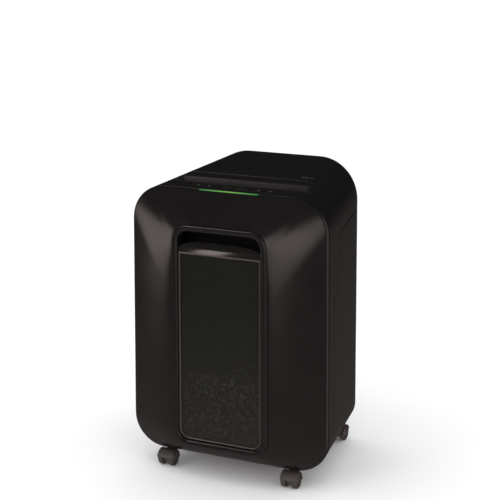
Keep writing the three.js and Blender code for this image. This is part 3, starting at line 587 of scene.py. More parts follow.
def make_bezel():
    """The ring round the front: it carries the throat, the buttons and the status light."""
    right = [("right_at", float(z)) for z in SIDE_HEIGHTS]
    left = [("left_at", float(z)) for z in reversed(SIDE_HEIGHTS)]
    spots = top_spots() + [("top_right", 1.0)] + right + bottom_spots() + left
    columns = []
    for spot in spots:
        z = section_point(body_section(FRONT_Y), spot)[1]
        columns.append(shell_column(spot, BEZEL_FRONT_Y, band_rear_y(z), 16))
    bezel = sheet("front_bezel_shell", [list(row) for row in zip(*columns)], GLOSS_ABS)
    thicken(bezel)
    soften(bezel, SEAM_ROUND)
    cutters = [slab("throat_hole", racetrack(THROAT[0] + GAP, THROAT[1] + GAP), "Z", 440, 520)]
    for side in (-1, 1):
        oval = ellipse(BUTTON[0] + GAP, BUTTON[1] + GAP, (side * BUTTON_X, BUTTON_Y))
        cutters.append(slab("button_hole", oval, "Z", 465, 500))
    cutters.append(light_cutter(LIGHT_Y[0] - 20, LIGHT_Y[1] + GAP, LIGHT_BED_Z, GAP))
    cutters += stem_cutters([CASTERS["front_left"], CASTERS["front_right"]])
    cut(bezel, cutters)
    smooth(bezel)
    place_piece(bezel, "housing", "gloss_housing", "front_bezel")

    plate_spots = [("left_at", 351.0)] + top_spots() + [("top_right", 1.0), ("right_at", 351.0)]
    outline = [section_point(body_section(-95, WALL + 0.4), spot) for spot in plate_spots]
    plate = slab("head_front_plate", outline, "Y", HOUSING_FRONT_Y, HOUSING_FRONT_Y + 2.5, SATIN_ABS)
    soften(plate, 0.3)
    hole = [(-20, 0), (-20, 2.4), (20, 2.4), (20, 0)]
    cutters = [turned("plunger_hole", hole, (PLUNGER_X, -95, PLUNGER_Z), None, "Y", 24)]
    cutters.append(light_cutter(LIGHT_Y[0] - 20, LIGHT_Y[1] + 3, LIGHT_BED_Z, GAP))
    cut(plate, cutters)
    smooth(plate)
    place_piece(plate, "housing", "gloss_housing")


def make_head_cover():
    """The top and rear of the head, with vent slots at the rear."""
    front = BAND_REAR_Y + SEAM
    spots = (steps("left_over", 0, 1, 4) + top_spots() + steps("top_right", 1, 1, 1)
             + steps("right_over", 1, 0, 4)[1:] + [("right_over", 0.0)])
    centre = parting_z(REAR_Y)
    columns = [shell_column(s, front, REAR_Y - REAR_ROUND, 18) + rear_column(s, centre) for s in spots]
    cover = sheet("head_cover_shell", [list(row) for row in zip(*columns)], GLOSS_ABS, ring=False)
    weld(cover)
    thicken(cover)
    soften(cover, SEAM_ROUND)
    cutters = []
    for i in range(9):
        outline = rounded(1.8, 15.0, 1.7, 4, ((i - 4) * 9.0, 447.0))
        cutters.append(slab("vent", outline, "Y", REAR_Y - 10, REAR_Y + 5))
    cut(cover, cutters)
    smooth(cover)
    place_piece(cover, "housing", "gloss_housing", "head_cover")


def make_cabinet():
    """The sides, rear and bottom of the cabinet."""
    heights = [float(z) for z in SIDE_HEIGHTS]
    spots = ([("right_under", 0.0)] + [("right_at", z) for z in heights] + bottom_spots()
             + [("left_at", z) for z in reversed(heights)] + [("left_under", 0.0)])
    centre = parting_z(REAR_Y) - SEAM
    columns = []
    for spot in spots:
        z = section_point(body_section(FRONT_Y), spot)[1]
        start = band_rear_y(z) + SEAM
        columns.append(shell_column(spot, start, REAR_Y - REAR_ROUND, 22) + rear_column(spot, centre))
    cabinet = sheet("cabinet_body_shell", [list(row) for row in zip(*columns)], GLOSS_ABS, ring=False)
    weld(cabinet)
    thicken(cabinet)
    soften(cabinet, SEAM_ROUND)
    x, z, half_width, half_height = SERVICE
    recess = rounded(half_width, half_height, 6, 5, (x, z))
    cutters = [slab("service_hole", recess, "Y", REAR_Y - 10, REAR_Y + 5)]
    cutters += stem_cutters([CASTERS["rear_left"], CASTERS["rear_right"]])
    cut(cabinet, cutters)
    smooth(cabinet)
    place_piece(cabinet, "housing", "gloss_housing", "cabinet_shell")


# ---------------------------------------------------------------- throat and controls

def make_throat():
    """The recessed mouth, with a fine raised rim, that narrows to the paper slot."""
    length, depth = THROAT
    profile = [(0.0, None, 457.0), (0.0, -0.4, None), (0.2, 0.15, None), (0.7, 0.35, None), (1.9, 0.35, None),
               (2.6, 0.1, None), (3.0, -0.6, None), (3.3, -2.0, None)]
    rows = []
    for inset, over, fixed in profile:
        points = racetrack(length - inset, depth - inset)
        rows.append([(px, py, fixed if over is None else skin_z(px, py) + over) for px, py in points])
    for share, z in ((0.1, 474.0), (0.3, 469.0), (0.6, 464.0), (0.85, 460.5), (1.0, 458.0), (1.0, 445.0),
                     (1.0, 430.5)):
        half = (lerp(length - 3.6, SLOT[0], share), lerp(depth - 3.6, SLOT[1], share))
        rows.append([(px, py, z) for px, py in racetrack(*half)])
    for half, z in (((SLOT[0] + 2.6, SLOT[1] + 2.6), 430.5), ((SLOT[0] + 2.6, SLOT[1] + 2.6), 455.6),
                    ((length, depth), 455.6)):
        rows.append([(px, py, z) for px, py in racetrack(*half)])
    throat = hoop("throat_mouth", rows, SATIN_ABS)
    smooth(throat, 50)
    place_piece(throat, "housing", "satin_housing", "throat_insert")


def make_buttons():
    """Two oval keys with a shallow dish on top."""
    for name, side in (("reverse_button", -1), ("power_button", 1)):
        centre = (side * BUTTON_X, BUTTON_Y)
        rows = []
        for inset, over in ((-1.4, -7.5), (-1.4, -5.2), (0.0, -5.0), (0.0, 0.2), (0.25, 0.75), (0.9, 1.05),
                            (1.8, 0.95), (3.2, 0.7), (5.0, 0.55), (6.4, 0.5)):
            outline = ellipse(BUTTON[0] - inset, BUTTON[1] - inset, centre, 48)
            rows.append([(px, py, skin_z(px, py) + over) for px, py in outline])
        key = capped(name + "_key", rows, SATIN_ABS)
        smooth(key, 50)
        place_piece(key, name, "satin_housing", name)


def make_status_light():
    """The lit bar that sits on the front edge between the bezel and the bin cover."""
    rear, front = LIGHT_Y[1], LIGHT_Y[0]
    low, high = LIGHT_Z
    outline = [(rear, low), (rear, high)]
    for i in range(9):
        a = math.pi / 2 * (1 + i / 8)
        outline.append((front + 2.5 + 2.5 * math.cos(a), high - 2.5 + 2.5 * math.sin(a)))
    outline.append((front, low))
    bar = slab("status_light_guide", outline, "X", -LIGHT_HALF, LIGHT_HALF, LIGHT_GUIDE)
    soften(bar, 0.4)
    settle(bar)
    smooth(bar)
    place_piece(bar, "housing", "green_light", "status_light_bar")


def stroke(points, width):
    """An outline of even width along an open line."""
    left, right = [], []
    for i, (x, y) in enumerate(points):
        a, b = points[max(i - 1, 0)], points[min(i + 1, len(points) - 1)]
        length = math.hypot(b[0] - a[0], b[1] - a[1])
        nx, ny = (a[1] - b[1]) / length * width / 2, (b[0] - a[0]) / length * width / 2
        left.append((x + nx, y + ny))
        right.append((x - nx, y - ny))
    return left + right[::-1]


def arc_line(radius, start, end, count=16):
    angles = [math.radians(lerp(start, end, i / count)) for i in range(count + 1)]
    return [(radius * math.cos(a), radius * math.sin(a)) for a in angles]


def make_marks():
    """Small printed signs beside the keys: plain generic shapes, not words."""
    bar = [(-3.0, -0.6), (3.0, -0.6), (3.0, 0.6), (-3.0, 0.6)]
    ring = stroke(arc_line(1.9, 20, 340), 0.7)
    page = stroke([(-1.8, -2.2), (1.8, -2.2), (1.8, 2.2), (-1.8, 2.2), (-1.8, -1.9)], 0.6)
    drop = stroke([(-2.0, 2.0), (-2.0, -2.0), (2.0, -2.0), (2.0, 2.0)], 0.6)
    dot = ellipse(0.8, 0.8, (0, 0.4), 16)
    places = [((-63, -78), [bar]), ((-43, -78), [ring]), ((43, -78), [page]), ((63, -78), [drop, dot]),
              ((84, 6), [page]), ((92, 6), [ring]), ((100, 6), [drop])]
    signs = []
    for (cx, cy), shapes in places:
        for shape in shapes:
            outline = [(cx + x, cy + y) for x, y in shape]
            rows = [[(x, y, skin_z(x, y) + over) for x, y in outline] for over in (-0.1, 0.08)]
            signs.append(capped("sign", rows, INK))
    marks = join("control_signs", signs)
    place_piece(marks, "housing", "satin_housing")


# ---------------------------------------------------------------- bin front

def cover_section(part):
    """Outline of the bin cover: 0 is its outer edge, 1 runs round the window frame."""
    inner = [WINDOW_FRAME[0] + GAP, WINDOW_FRAME[1] - GAP, WINDOW_FRAME[2] + GAP,
             WINDOW_FRAME[3] + GAP, WINDOW_FRAME[4] + GAP]
    return tuple(lerp(a, b, part) for a, b in zip(FRONT, inner))


def frame_spot(spot):
    """Where a spot of the cover's edge meets the frame: the wings fan down from the upper corners."""
    part, f = spot
    _, low, high, low_radius, high_radius = cover_section(1)
    start, end = high - high_radius - FAN_DROP, low + low_radius
    if part in ("top_left", "top_right"):
        if f <= FAN_SHARE:
            return part, f / FAN_SHARE
        return part[4:] + "_at", high - high_radius - FAN_DROP * ((f - FAN_SHARE) / (1 - FAN_SHARE)) ** 1.4
    if part in ("left", "right"):
        return part + "_at", lerp(start, end, f)
    return spot


def cover_row(part, spots):
    """Points round the cover's face, part of the way from its edge to the frame."""
    row = []
    for spot in spots:
        x0, z0 = section_point(cover_section(0), spot)
        x1, z1 = section_point(cover_section(1), frame_spot(spot))
        row.append((lerp(x0, x1, part), cover_y(part, spot), lerp(z0, z1, part)))
    return row


def cover_y(part, spot):
    """Depth of the cover's face: a rounded rim, then a slope to the frame that is crowned beside it."""
    name, f = spot
    corner = lerp(FLAT_FACET, FULL_WING, f)
    fullness = {"top": FLAT_FACET, "top_left": corner, "top_right": corner}.get(name, FULL_WING)
    crown = 1 - (1 - part) ** fullness
    rim = math.sqrt(1 - (1 - min(part / RIM_PART, 1)) ** 2)
    return FRONT_Y - RIM_DEPTH * rim - (FRONT_Y - RIM_DEPTH - COVER_FACE_Y) * crown


def make_bin_cover():
    spots = around()
    parts = [1 - i / 40 * (1 - RIM_PART) for i in range(41)]
    parts += [RIM_PART * f for f in (0.78, 0.55, 0.34, 0.17, 0.06, 0.01, 0.0)]
    rows = [cover_row(p, spots) for p in parts]
    cover = sheet("bin_cover_face", rows, GLOSS_ABS)
    thicken(cover)
    soften(cover, 0.5, angle=45)
    cut(cover, [light_cutter(LIGHT_Y[0] - 1, FRONT_Y + 10, LIGHT_Z[0] - 1, 1)])
    smooth(cover)
    pin = [(-14, 0), (-14, 4), (-0.6, 4), (0, 3.4), (0, 0)]
    boss = turned("switch_boss", pin, (PLUNGER_X, FRONT_Y, PLUNGER_Z), INNER_STYRENE, "Y", 32)
    smooth(boss)
    place_piece(boss, "bin", "inner_plastic")
    place_piece(cover, "bin", "gloss_housing", "bin_front_cover")


def frame_section(inset):
    half, low, high, low_radius, high_radius = WINDOW_FRAME
    return half - inset, low + inset, high - inset, low_radius - inset, high_radius - inset


def make_window_frame():
    """A rounded frame whose face slopes slightly in towards the window."""
    spots = around(48, 18, 24)
    profile = [(0.0, FRAME_REAR_Y), (0.0, -137.2), (0.25, -138.5), (0.9, -139.4), (2.0, -139.9),
               (4.0, NOSE_Y),
               (7.5, -139.8), (9.2, -139.3), (10.2, -138.3), (10.7, -137.0), (FRAME_WIDTH, -135.2),
               (FRAME_WIDTH, FRAME_REAR_Y)]
    rows = [ring_row(frame_section(i), spots, y) for i, y in profile]
    frame_piece = hoop("window_surround", rows, GLOSS_ABS)
    smooth(frame_piece, 50)
    place_piece(frame_piece, "bin", "gloss_housing", "window_frame", "handle_frame")


def make_window_trim():
    """A bright bead round three sides of the window with a bar across its top."""
    inner = FRAME_WIDTH + GAP
    half, low, _, low_radius, _ = frame_section(inner)
    outer_edge = (half, low, TRIM_TOP, low_radius, 1.0)
    inner_edge = (half - TRIM_WIDTH, low + TRIM_WIDTH, TRIM_TOP - TRIM_BAR, low_radius - TRIM_WIDTH, 0.6)
    spots = around(40, 14, 12)
    rows = []
    for share, y in ((0.0, -130.5), (0.0, -134.6), (0.06, -135.4), (0.2, -136.1), (0.4, -136.5),
                     (0.6, -136.5),
                     (0.8, -136.1), (0.94, -135.4), (1.0, -134.6), (1.0, -130.5)):
        section = tuple(lerp(a, b, share) for a, b in zip(outer_edge, inner_edge))
        rows.append(ring_row(section, spots, y))
    trim = hoop("window_bead", rows, TRIM_LACQUER)
    smooth(trim, 60)
    place_piece(trim, "bin", "trim", "window_trim")


def make_window_pane():
    edge = FRAME_WIDTH + GAP + TRIM_WIDTH + GAP
    half, low, _, low_radius, _ = frame_section(edge)
    section = (half, low, TRIM_TOP - TRIM_BAR - GAP, low_radius, 1.0)
    outline = [section_point(section, spot) for spot in around(10, 12, 8)]
    pane = slab("window_glazing", outline, "Y", -134.5, -131.5, WINDOW)
    soften(pane, 0.4)
    settle(pane)
    smooth(pane)
    place_piece(pane, "bin", "smoked_window", "window_pane")


def make_grip_lip():
    """The glossy pull: a curved lip whose upper edge is an arch."""
    half = WINDOW_FRAME[0] - FRAME_WIDTH - GAP
    base = TRIM_TOP + GAP
    axis_y, axis_z, radius = LIP_AXIS
    columns = []
    for i in range(65):
        u = -math.cos(math.pi * i / 64)
        x = u * half
        top = base + 3 + (LIP_HEIGHT - 3) * max(1 - abs(u) ** LIP_FULLNESS, 0) ** (1 / LIP_FULLNESS)
        bow = LIP_BOW * (1 - u * u)
        column = []
        for j in range(15):
            z = lerp(base, top, j / 14)
            column.append((x, axis_y - bow - math.sqrt(radius ** 2 - (z - axis_z) ** 2), z))
        columns.append(column)
    lip = sheet("grip_pull", columns, POLISHED_ABS, ring=False)
    edit(lip, lambda bm: bmesh.ops.reverse_faces(bm, faces=bm.faces))
    weld(lip)
    thicken(lip, 2.4)
    soften(lip, 0.7, 3, 50)
    settle(lip)
    smooth(lip, 50)
    place_piece(lip, "bin", "gloss_housing", "grip_lip")


def make_scoop():
    """The finger pocket behind the pull: a dished rear wall under an open dark space, both in a near-black,
    low-gloss material that is painted shade for the recess.
    """
    half = WINDOW_FRAME[0] - FRAME_WIDTH - GAP
    outline = rounded(half, 25.6, 17.0, 8, (0.0, 393.6))
    # The pocket's near-black, low-gloss material is painted shade for the recess.
    tray = capped("scoop", [[(x, y, z) for x, z in outline] for y in (-130.0, -99.6)], POCKET_SHADE_ABS)
    hollow = slab("hollow", rounded(half - 2.2, 23.4, 15.0, 8, (0.0, 393.6)), "Y", -135, -101.8)
    cut(tray, [hollow])
    ramp = []
    for i in range(13):
        a = math.pi / 2 * i / 12
        ramp.append((-104.0 - 24 * (1 - math.sin(a)), 374.0 + 29 * (1 - math.cos(a))))
    ramp_outline = [(-101.0, 371.0), (-101.0, 403.0)] + ramp[::-1] + [(-128.0, 371.0)]
    bowl = slab("bowl", ramp_outline, "X", -half + 2.0, half - 2.0, POCKET_SHADE_ABS)
    soften(bowl, 0.8)
    settle(bowl)
    pocket = join("finger_pocket", [tray, bowl])
    smooth(pocket)
    place_piece(pocket, "bin", "inner_plastic", "handle_scoop")


# ---------------------------------------------------------------- shreds in the bin

def begin_tree(name, inputs):
    """A node group that takes a mesh and the named inputs, and those inputs' sockets."""
    tree = bpy.data.node_groups.new(name, "GeometryNodeTree")
    for label, kind in [("Geometry", "Geometry")] + inputs:
        tree.interface.new_socket(label, in_out="INPUT", socket_type="NodeSocket" + kind)
    tree.interface.new_socket("Geometry", in_out="OUTPUT", socket_type="NodeSocketGeometry")
    return tree, add(tree, "NodeGroupInput").outputs


def end_tree(tree, copies, material):
    """Makes the copies real, gives them their material and puts them out."""
    real = add(tree, "GeometryNodeRealizeInstances", {"Geometry": copies})
    painted = add(tree, "GeometryNodeSetMaterial", {"Geometry": real.outputs["Geometry"],
                                                    "Material": material})
    add(tree, "NodeGroupOutput", {"Geometry": painted.outputs["Geometry"]})
    return tree


def chip_tree():
    """Scatters small bent chips over a surface."""
    tree, given = begin_tree("shred_scatter", [
        ("Chips per square metre", "Float"), ("Chip length", "Float"), ("Chip width", "Float"),
        ("Seed", "Int"), ("Chip material", "Material")])
    points = add(tree, "GeometryNodeDistributePointsOnFaces", {
        "Mesh": given["Geometry"], "Density": given["Chips per square metre"], "Seed": given["Seed"]})
    chip = add(tree, "GeometryNodeMeshGrid", {
        "Size X": given["Chip length"], "Size Y": given["Chip width"], "Vertices X": 4, "Vertices Y": 2})
    place = add(tree, "GeometryNodeInputPosition")
    curl = add(tree, "ShaderNodeTexNoise", {"Vector": place.outputs[0], "Scale": 150.0})
    lift = add(tree, "ShaderNodeCombineXYZ", {"Z": curl.outputs["Fac"]})
    shrink = add(tree, "ShaderNodeVectorMath", {0: lift.outputs[0], "Scale": 0.004}, operation="SCALE")
    bent = add(tree, "GeometryNodeSetPosition", {"Geometry": chip.outputs["Mesh"],
                                                 "Offset": shrink.outputs[0]})
    tumble = add(tree, "FunctionNodeRandomValue", {
        "Min": (-0.9, -0.9, 0.0), "Max": (0.9, 0.9, 6.28), "Seed": given["Seed"]}, data_type="FLOAT_VECTOR")
    turn = add(tree, "FunctionNodeRotateRotation", {
        "Rotation": points.outputs["Rotation"], "Rotate By": tumble.outputs["Value"]}, rotation_space="LOCAL")
    copies = add(tree, "GeometryNodeInstanceOnPoints", {
        "Points": points.outputs["Points"], "Instance": bent.outputs["Geometry"],
        "Rotation": turn.outputs[0]})
    tone = add(tree, "FunctionNodeRandomValue", {"Seed": given["Seed"]}, data_type="FLOAT")
    kept = add(tree, "GeometryNodeStoreNamedAttribute", {
        "Geometry": copies.outputs["Instances"], "Name": "chip_tone",
        "Value": [o for o in tone.outputs if o.enabled][0]}, data_type="FLOAT", domain="INSTANCE")
    return end_tree(tree, kept.outputs["Geometry"], given["Chip material"])


def run_nodes(obj, tree, values):
    """Runs a node tree on an object with its inputs set, and leaves a plain mesh."""
    nodes = obj.modifiers.new("nodes", "NODES")
    nodes.node_group = tree
    for item in tree.interface.items_tree:
        if item.item_type == "SOCKET" and item.in_out == "INPUT" and item.name in values:
            nodes[item.identifier] = values[item.name]
    settle(obj)


def make_shreds():
    """A heap of shreds in the bin: a lumpy core, near-black as painted shade between the chips, under loose
    chips.
    """
    def top(x, y):
        waves = 3.0 * math.sin(x / 17.0 + 1.0) * math.cos(y / 23.0) + 1.6 * math.sin(x / 7.0)
        return max(176.0 - 0.34 * (y + 126.0), 118.0) + waves

    xs = [lerp(-72.0, 72.0, i / 32) for i in range(33)]
    front, rear = -124.5, 96.0
    column = []
    for x in xs:
        wall = [(x, front, z) for z in (64, 80, 100, 120, 140, 160)]
        heap = [(x, lerp(front, rear, j / 24), top(x, lerp(front, rear, j / 24))) for j in range(25)]
        column.append(wall + heap)
    loose = sheet("loose_shreds", column, PAPER, ring=False)
    edit(loose, lambda bm: bmesh.ops.recalc_face_normals(bm, faces=bm.faces))
    # The core carries no chip tone, so it takes the paper's darkest colour: painted shade seen between the
    # chips.
    core = loose.copy()
    core.data = loose.data.copy()
    core.name = "shred_heap"
    bpy.context.scene.collection.objects.link(core)
    run_nodes(loose, chip_tree(), {"Chips per square metre": 70000.0, "Chip length": 0.0058,
                                   "Chip width": 0.0028,
                                   "Seed": 7, "Chip material": PAPER})
    thicken(core, 3.0)
    settle(core)
    for obj in (core, loose):
        smooth(obj, 60)
        place_piece(obj, "bin", "inner_plastic")


# ---------------------------------------------------------------- rear fittings

def make_service_panel():
    x, z, half_width, half_height = SERVICE
    outline = rounded(half_width - GAP, half_height - GAP, 5.6, 6, (x, z))
    front = slab("service_face", outline, "Y", 134.0, 138.0, SATIN_ABS)
    flange = slab("service_flange", rounded(half_width + 3, half_height + 3, 8, 6, (x, z)), "Y", 133.0,
                  136.8, SATIN_ABS)
    panel = join("service_panel", [front, flange])
    soften(panel, 0.4)
    holes = [slab("switch_hole", rounded(SWITCH[0] + GAP, SWITCH[1] + GAP, 1.5, 4, (SWITCH_X, z)), "Y", 120,
                  150),
             turned("gland_hole", [(-20, 0), (-20, 9.3), (20, 9.3), (20, 0)], (GLAND_X, 136, z), None, "Y",
                    40)]
    cut(panel, holes)
    smooth(panel)
    place_piece(panel, "housing", "satin_housing")

    bush = [(-4.0, GLAND_BORE), (-4.0, 7.6), (-0.4, GLAND_RADIUS - 0.6), (0.6, GLAND_RADIUS),
            (2.2, GLAND_RADIUS),
            (3.0, GLAND_RADIUS - 0.9), (3.2, 6.0), (2.4, 5.0), (1.4, GLAND_BORE)]
    rows = []
    for i in range(48):
        a = 2 * math.pi * i / 48
        rows.append([(GLAND_X + r * math.cos(a), 136.0 + t, z + r * math.sin(a)) for t, r in bush])
    gland = hoop("cord_bush", rows, RUBBER)
    smooth(gland, 50)
    place_piece(gland, "housing", "rubber", "cord_gland")


SCREWS = [(-104.0, 405.0), (104.0, 405.0), (-110.0, 56.0), (110.0, 56.0), (-78.0, 448.0), (78.0, 448.0)]


def screw_tree():
    """Puts one screw head on each point of a mesh, facing the rear."""
    tree, given = begin_tree("screw_places", [
        ("Head radius", "Float"), ("Head height", "Float"), ("Slot width", "Float"),
        ("Screw material", "Material")])
    dome = add(tree, "GeometryNodeMeshCylinder", {
        "Vertices": 28, "Radius": given["Head radius"], "Depth": given["Head height"]}, fill_type="NGON")
    length = add(tree, "ShaderNodeMath", {0: given["Head radius"], 1: 1.3}, operation="MULTIPLY")
    long_way = add(tree, "ShaderNodeCombineXYZ", {
        "X": length.outputs[0], "Y": given["Slot width"], "Z": given["Head height"]})
    short_way = add(tree, "ShaderNodeCombineXYZ", {
        "X": given["Slot width"], "Y": length.outputs[0], "Z": given["Head height"]})
    first = add(tree, "GeometryNodeMeshCube", {"Size": long_way.outputs[0]})
    second = add(tree, "GeometryNodeMeshCube", {"Size": short_way.outputs[0]})
    raise_by = add(tree, "ShaderNodeMath", {0: given["Head height"], 1: 0.55}, operation="MULTIPLY")
    up = add(tree, "ShaderNodeCombineXYZ", {"Z": raise_by.outputs[0]})
    lifted = [add(tree, "GeometryNodeTransform", {"Geometry": g.outputs["Mesh"],
                                                  "Translation": up.outputs[0]})
              for g in (first, second)]
    driven = add(tree, "GeometryNodeMeshBoolean", {"Mesh 1": dome.outputs["Mesh"],
                                                   "Mesh 2": lifted[0].outputs[0]},
                 operation="DIFFERENCE")
    crossed = add(tree, "GeometryNodeMeshBoolean", {"Mesh 1": driven.outputs["Mesh"],
                                                    "Mesh 2": lifted[1].outputs[0]},
                  operation="DIFFERENCE")
    facing = add(tree, "FunctionNodeEulerToRotation", {"Euler": (-math.pi / 2, 0.0, 0.0)})
    copies = add(tree, "GeometryNodeInstanceOnPoints", {
        "Points": given["Geometry"], "Instance": crossed.outputs["Mesh"], "Rotation": facing.outputs[0]})
    return end_tree(tree, copies.outputs["Instances"], given["Screw material"])


def make_screws():
    """Cross-head screws that hold the cabinet and the head cover at the rear."""
    screws = new_object("rear_screws", [(x, REAR_Y - 0.2, z) for x, z in SCREWS], [], SHEET_STEEL)
    run_nodes(screws, screw_tree(), {"Head radius": 0.0034, "Head height": 0.0016, "Slot width": 0.0009,
                                     "Screw material": SHEET_STEEL})
    soften(screws, 0.2, 2, 60)
    settle(screws)
    smooth(screws)
    place_piece(screws, "housing", "steel")


# ---------------------------------------------------------------- casters

def at_caster(obj, place):
    """Moves a mesh drawn round the stem to its place; the rear casters trail to the rear."""
    x, y = place
    turn = Matrix.Rotation(math.pi if y > 0 else 0.0, 4, "Z")
    obj.data.transform(Matrix.Translation((x * MM, y * MM, 0)) @ turn)


def caster_hood():
    """The guard over both wheels with its collar and the web between the wheels."""
    section = [(-HALF_TRACK, 13.7), (-HALF_TRACK, 14.1), (-HALF_TRACK + 0.4, 14.6), (-HALF_TRACK + 1.3, 14.9),
               (HALF_TRACK - 1.3, 14.9), (HALF_TRACK - 0.4, 14.6), (HALF_TRACK, 14.1), (HALF_TRACK, 13.7),
               (HALF_TRACK - 0.5, 13.75), (-HALF_TRACK + 0.5, 13.75)]
    rows = []
    for i in range(33):
        a = math.radians(lerp(-12, 168, i / 32))
        rows.append([(x, -TRAIL + r * math.cos(a), WHEEL_RADIUS + r * math.sin(a)) for x, r in section])
    guard = capped("guard", rows, CASTER_NYLON)
    soften(guard, 0.25, 2, 50)
    settle(guard)
    web = turned("web", [(-4.3, 0), (-4.3, 8.5), (-3.6, 9.2), (3.6, 9.2), (4.3, 8.5), (4.3, 0)],
                 (0, -TRAIL, WHEEL_RADIUS), CASTER_NYLON)
    neck = slab("neck", [(-4.3, -11), (4.3, -11), (4.3, 6), (-4.3, 6)], "Z", 12.0, 26.0, CASTER_NYLON)
    soften(neck, 1.2, 3)
    settle(neck)
    collar = turned("collar", [(17, 0), (17, 6.5), (18.5, 8.2), (24, 9.0), (27.9, 9.0), (28.7, 8.2),
                               (28.8, 0)],
                    (0, 0, 0), CASTER_NYLON, "Z")
    stem = turned("stem", [(28.6, 0), (28.6, 6.2), (29.3, 6.2), (29.3, 5.0), (46, 5.0), (46.6, 4.3),
                           (48.4, 4.3),
                           (49, 5.0), (51, 5.0), (52, 4.2), (52, 0)], (0, 0, 0), TURNED_STEEL, "Z", 32)
    return [guard, web, neck, collar, stem]


def caster_wheel(side):
    """A wheel with a soft-edged tread and a dished outer face with a hub cap."""
    profile = [(WHEEL_INNER, 0), (WHEEL_INNER, 12.0), (WHEEL_INNER + 0.5, 12.7), (WHEEL_INNER + 1.2, 13.0),
               (HALF_TRACK - 2.2, 13.0), (HALF_TRACK - 1.2, 12.6), (HALF_TRACK - 0.5, 11.9),
               (HALF_TRACK - 0.1, 10.9),
               (HALF_TRACK, 10.2), (HALF_TRACK - 0.3, 9.6), (HALF_TRACK - 1.5, 9.1), (HALF_TRACK - 1.8, 8.4),
               (HALF_TRACK - 1.6, 6.0), (HALF_TRACK - 1.4, 5.2), (HALF_TRACK - 0.6, 4.6),
               (HALF_TRACK - 0.2, 3.9),
               (HALF_TRACK, 2.6), (HALF_TRACK, 0)]
    outline = [(side * t, r) for t, r in profile]
    return turned("wheel", outline, (0, -TRAIL, WHEEL_RADIUS), CASTER_NYLON, "X", 64)


def rib_tree():
    """Short ribs spaced evenly round an axis along X."""
    tree, given = begin_tree("hub_ribs", [
        ("Ribs", "Int"), ("Rib size", "Vector"), ("Ring radius", "Float"), ("Rib material", "Material")])
    circle = add(tree, "GeometryNodeMeshCircle", {"Vertices": given["Ribs"], "Radius": given["Ring radius"]})
    upright = add(tree, "GeometryNodeTransform", {
        "Geometry": circle.outputs["Mesh"], "Rotation": (0.0, math.pi / 2, 0.0)})
    place = add(tree, "GeometryNodeInputPosition")
    aim = add(tree, "FunctionNodeAlignRotationToVector", {"Vector": place.outputs[0]}, axis="Z")
    rib = add(tree, "GeometryNodeMeshCube", {"Size": given["Rib size"]})
    ring = add(tree, "GeometryNodeInstanceOnPoints", {
        "Points": upright.outputs[0], "Instance": rib.outputs["Mesh"], "Rotation": aim.outputs[0]})
    copies = add(tree, "GeometryNodeInstanceOnPoints", {
        "Points": given["Geometry"], "Instance": ring.outputs["Instances"]})
    return end_tree(tree, copies.outputs["Instances"], given["Rib material"])


def make_casters():
    ribs = rib_tree()
    for name, place in CASTERS.items():
        hood = join(name + "_caster_guard", caster_hood())
        at_caster(hood, place)
        smooth(hood, 50)
        place_piece(hood, name + "_caster", "caster_plastic", name + "_caster_hood")
        for label, side in (("left", -1), ("right", 1)):
            wheel = caster_wheel(side)
            hub = (side * (HALF_TRACK - 1.5), -TRAIL, WHEEL_RADIUS)
            spokes = new_object("spokes", [hub], [], CASTER_NYLON)
            local = spokes.data.vertices[0].co.copy()
            spokes.data.transform(Matrix.Translation(-local))
            run_nodes(spokes, ribs, {"Ribs": 6, "Rib size": (0.0012, 0.0014, 0.0042), "Ring radius": 0.0068,
                                     "Rib material": CASTER_NYLON})
            spokes.data.transform(Matrix.Translation(local))
            whole = join(f"{name}_caster_{label}_tyre", [wheel, spokes])
            at_caster(whole, place)
            smooth(whole, 40)
            place_piece(whole, name + "_caster_wheels", "caster_plastic", f"{name}_caster_{label}_wheel")


# ---------------------------------------------------------------- pieces kept from the frame

KEPT = {
    INNER_STYRENE: ["base_floor", "head_floor", "front_stripper", "rear_stripper", "bin_switch", "bin_tub"],
    PLAIN_NYLON: ["left_bin_rail", "right_bin_rail", "intermediate_gear"],
    TURNED_STEEL: ["front_tie_rod", "rear_tie_rod", "front_cutter", "rear_cutter", "front_cutter_gear",
                   "rear_cutter_gear", "intermediate_gear_pin", "motor_pinion"]
    + [name + "_caster_axle" for name in CASTERS],
    SHEET_STEEL: ["left_side_plate", "right_side_plate", "motor"],
    BOARD: ["control_board"],
    SATIN_ABS: ["power_switch_body", "power_switch_rocker"],
}


def paint_kept_pieces():
    for material, names in KEPT.items():
        for name in names:
            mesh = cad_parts[name].data
            mesh.materials.clear()
            mesh.materials.append(material)


# ---------------------------------------------------------------- floor, light and camera

def make_floor():
    """A plain pale floor."""
    material, tree, place = blank_material("pale_painted_floor")
    faint = noise(tree, place, 3.0)
    principled(tree, {"Base Color": tones(tree, faint, "#f4f4f4", "#f8f8f8"), "Roughness": 0.9,
                      "Specular IOR Level": 0.1})
    rows = [[(x * 1000.0, y * 1000.0, 0.0) for x in range(-12, 13)] for y in range(-12, 13)]
    floor = sheet("studio_floor", rows, material, ring=False)
    floor.visible_glossy = False


STUDIO_TINT = "#ffeeec"
LIGHTS_AIM = Vector((0.0, -0.12, 0.38))
CARD_DISTANCE = 2.4


def area_light(name, place, aim, size, power, roll=0.0, tint="#ffffff"):
    """A flat light aimed at a point and turned about its own axis by roll degrees."""
    lamp = bpy.data.lights.new(name, "AREA")
    lamp.shape = "RECTANGLE"
    lamp.size, lamp.size_y = size
    lamp.energy = power
    lamp.color = linear(tint)[:3]
    obj = bpy.data.objects.new(name, lamp)
    obj.location = place
    facing = (Vector(place) - Vector(aim)).to_track_quat("Z", "Y").to_matrix()
    obj.rotation_euler = (facing @ Matrix.Rotation(math.radians(roll), 3, "Z")).to_euler()
    bpy.context.scene.collection.objects.link(obj)
    return obj


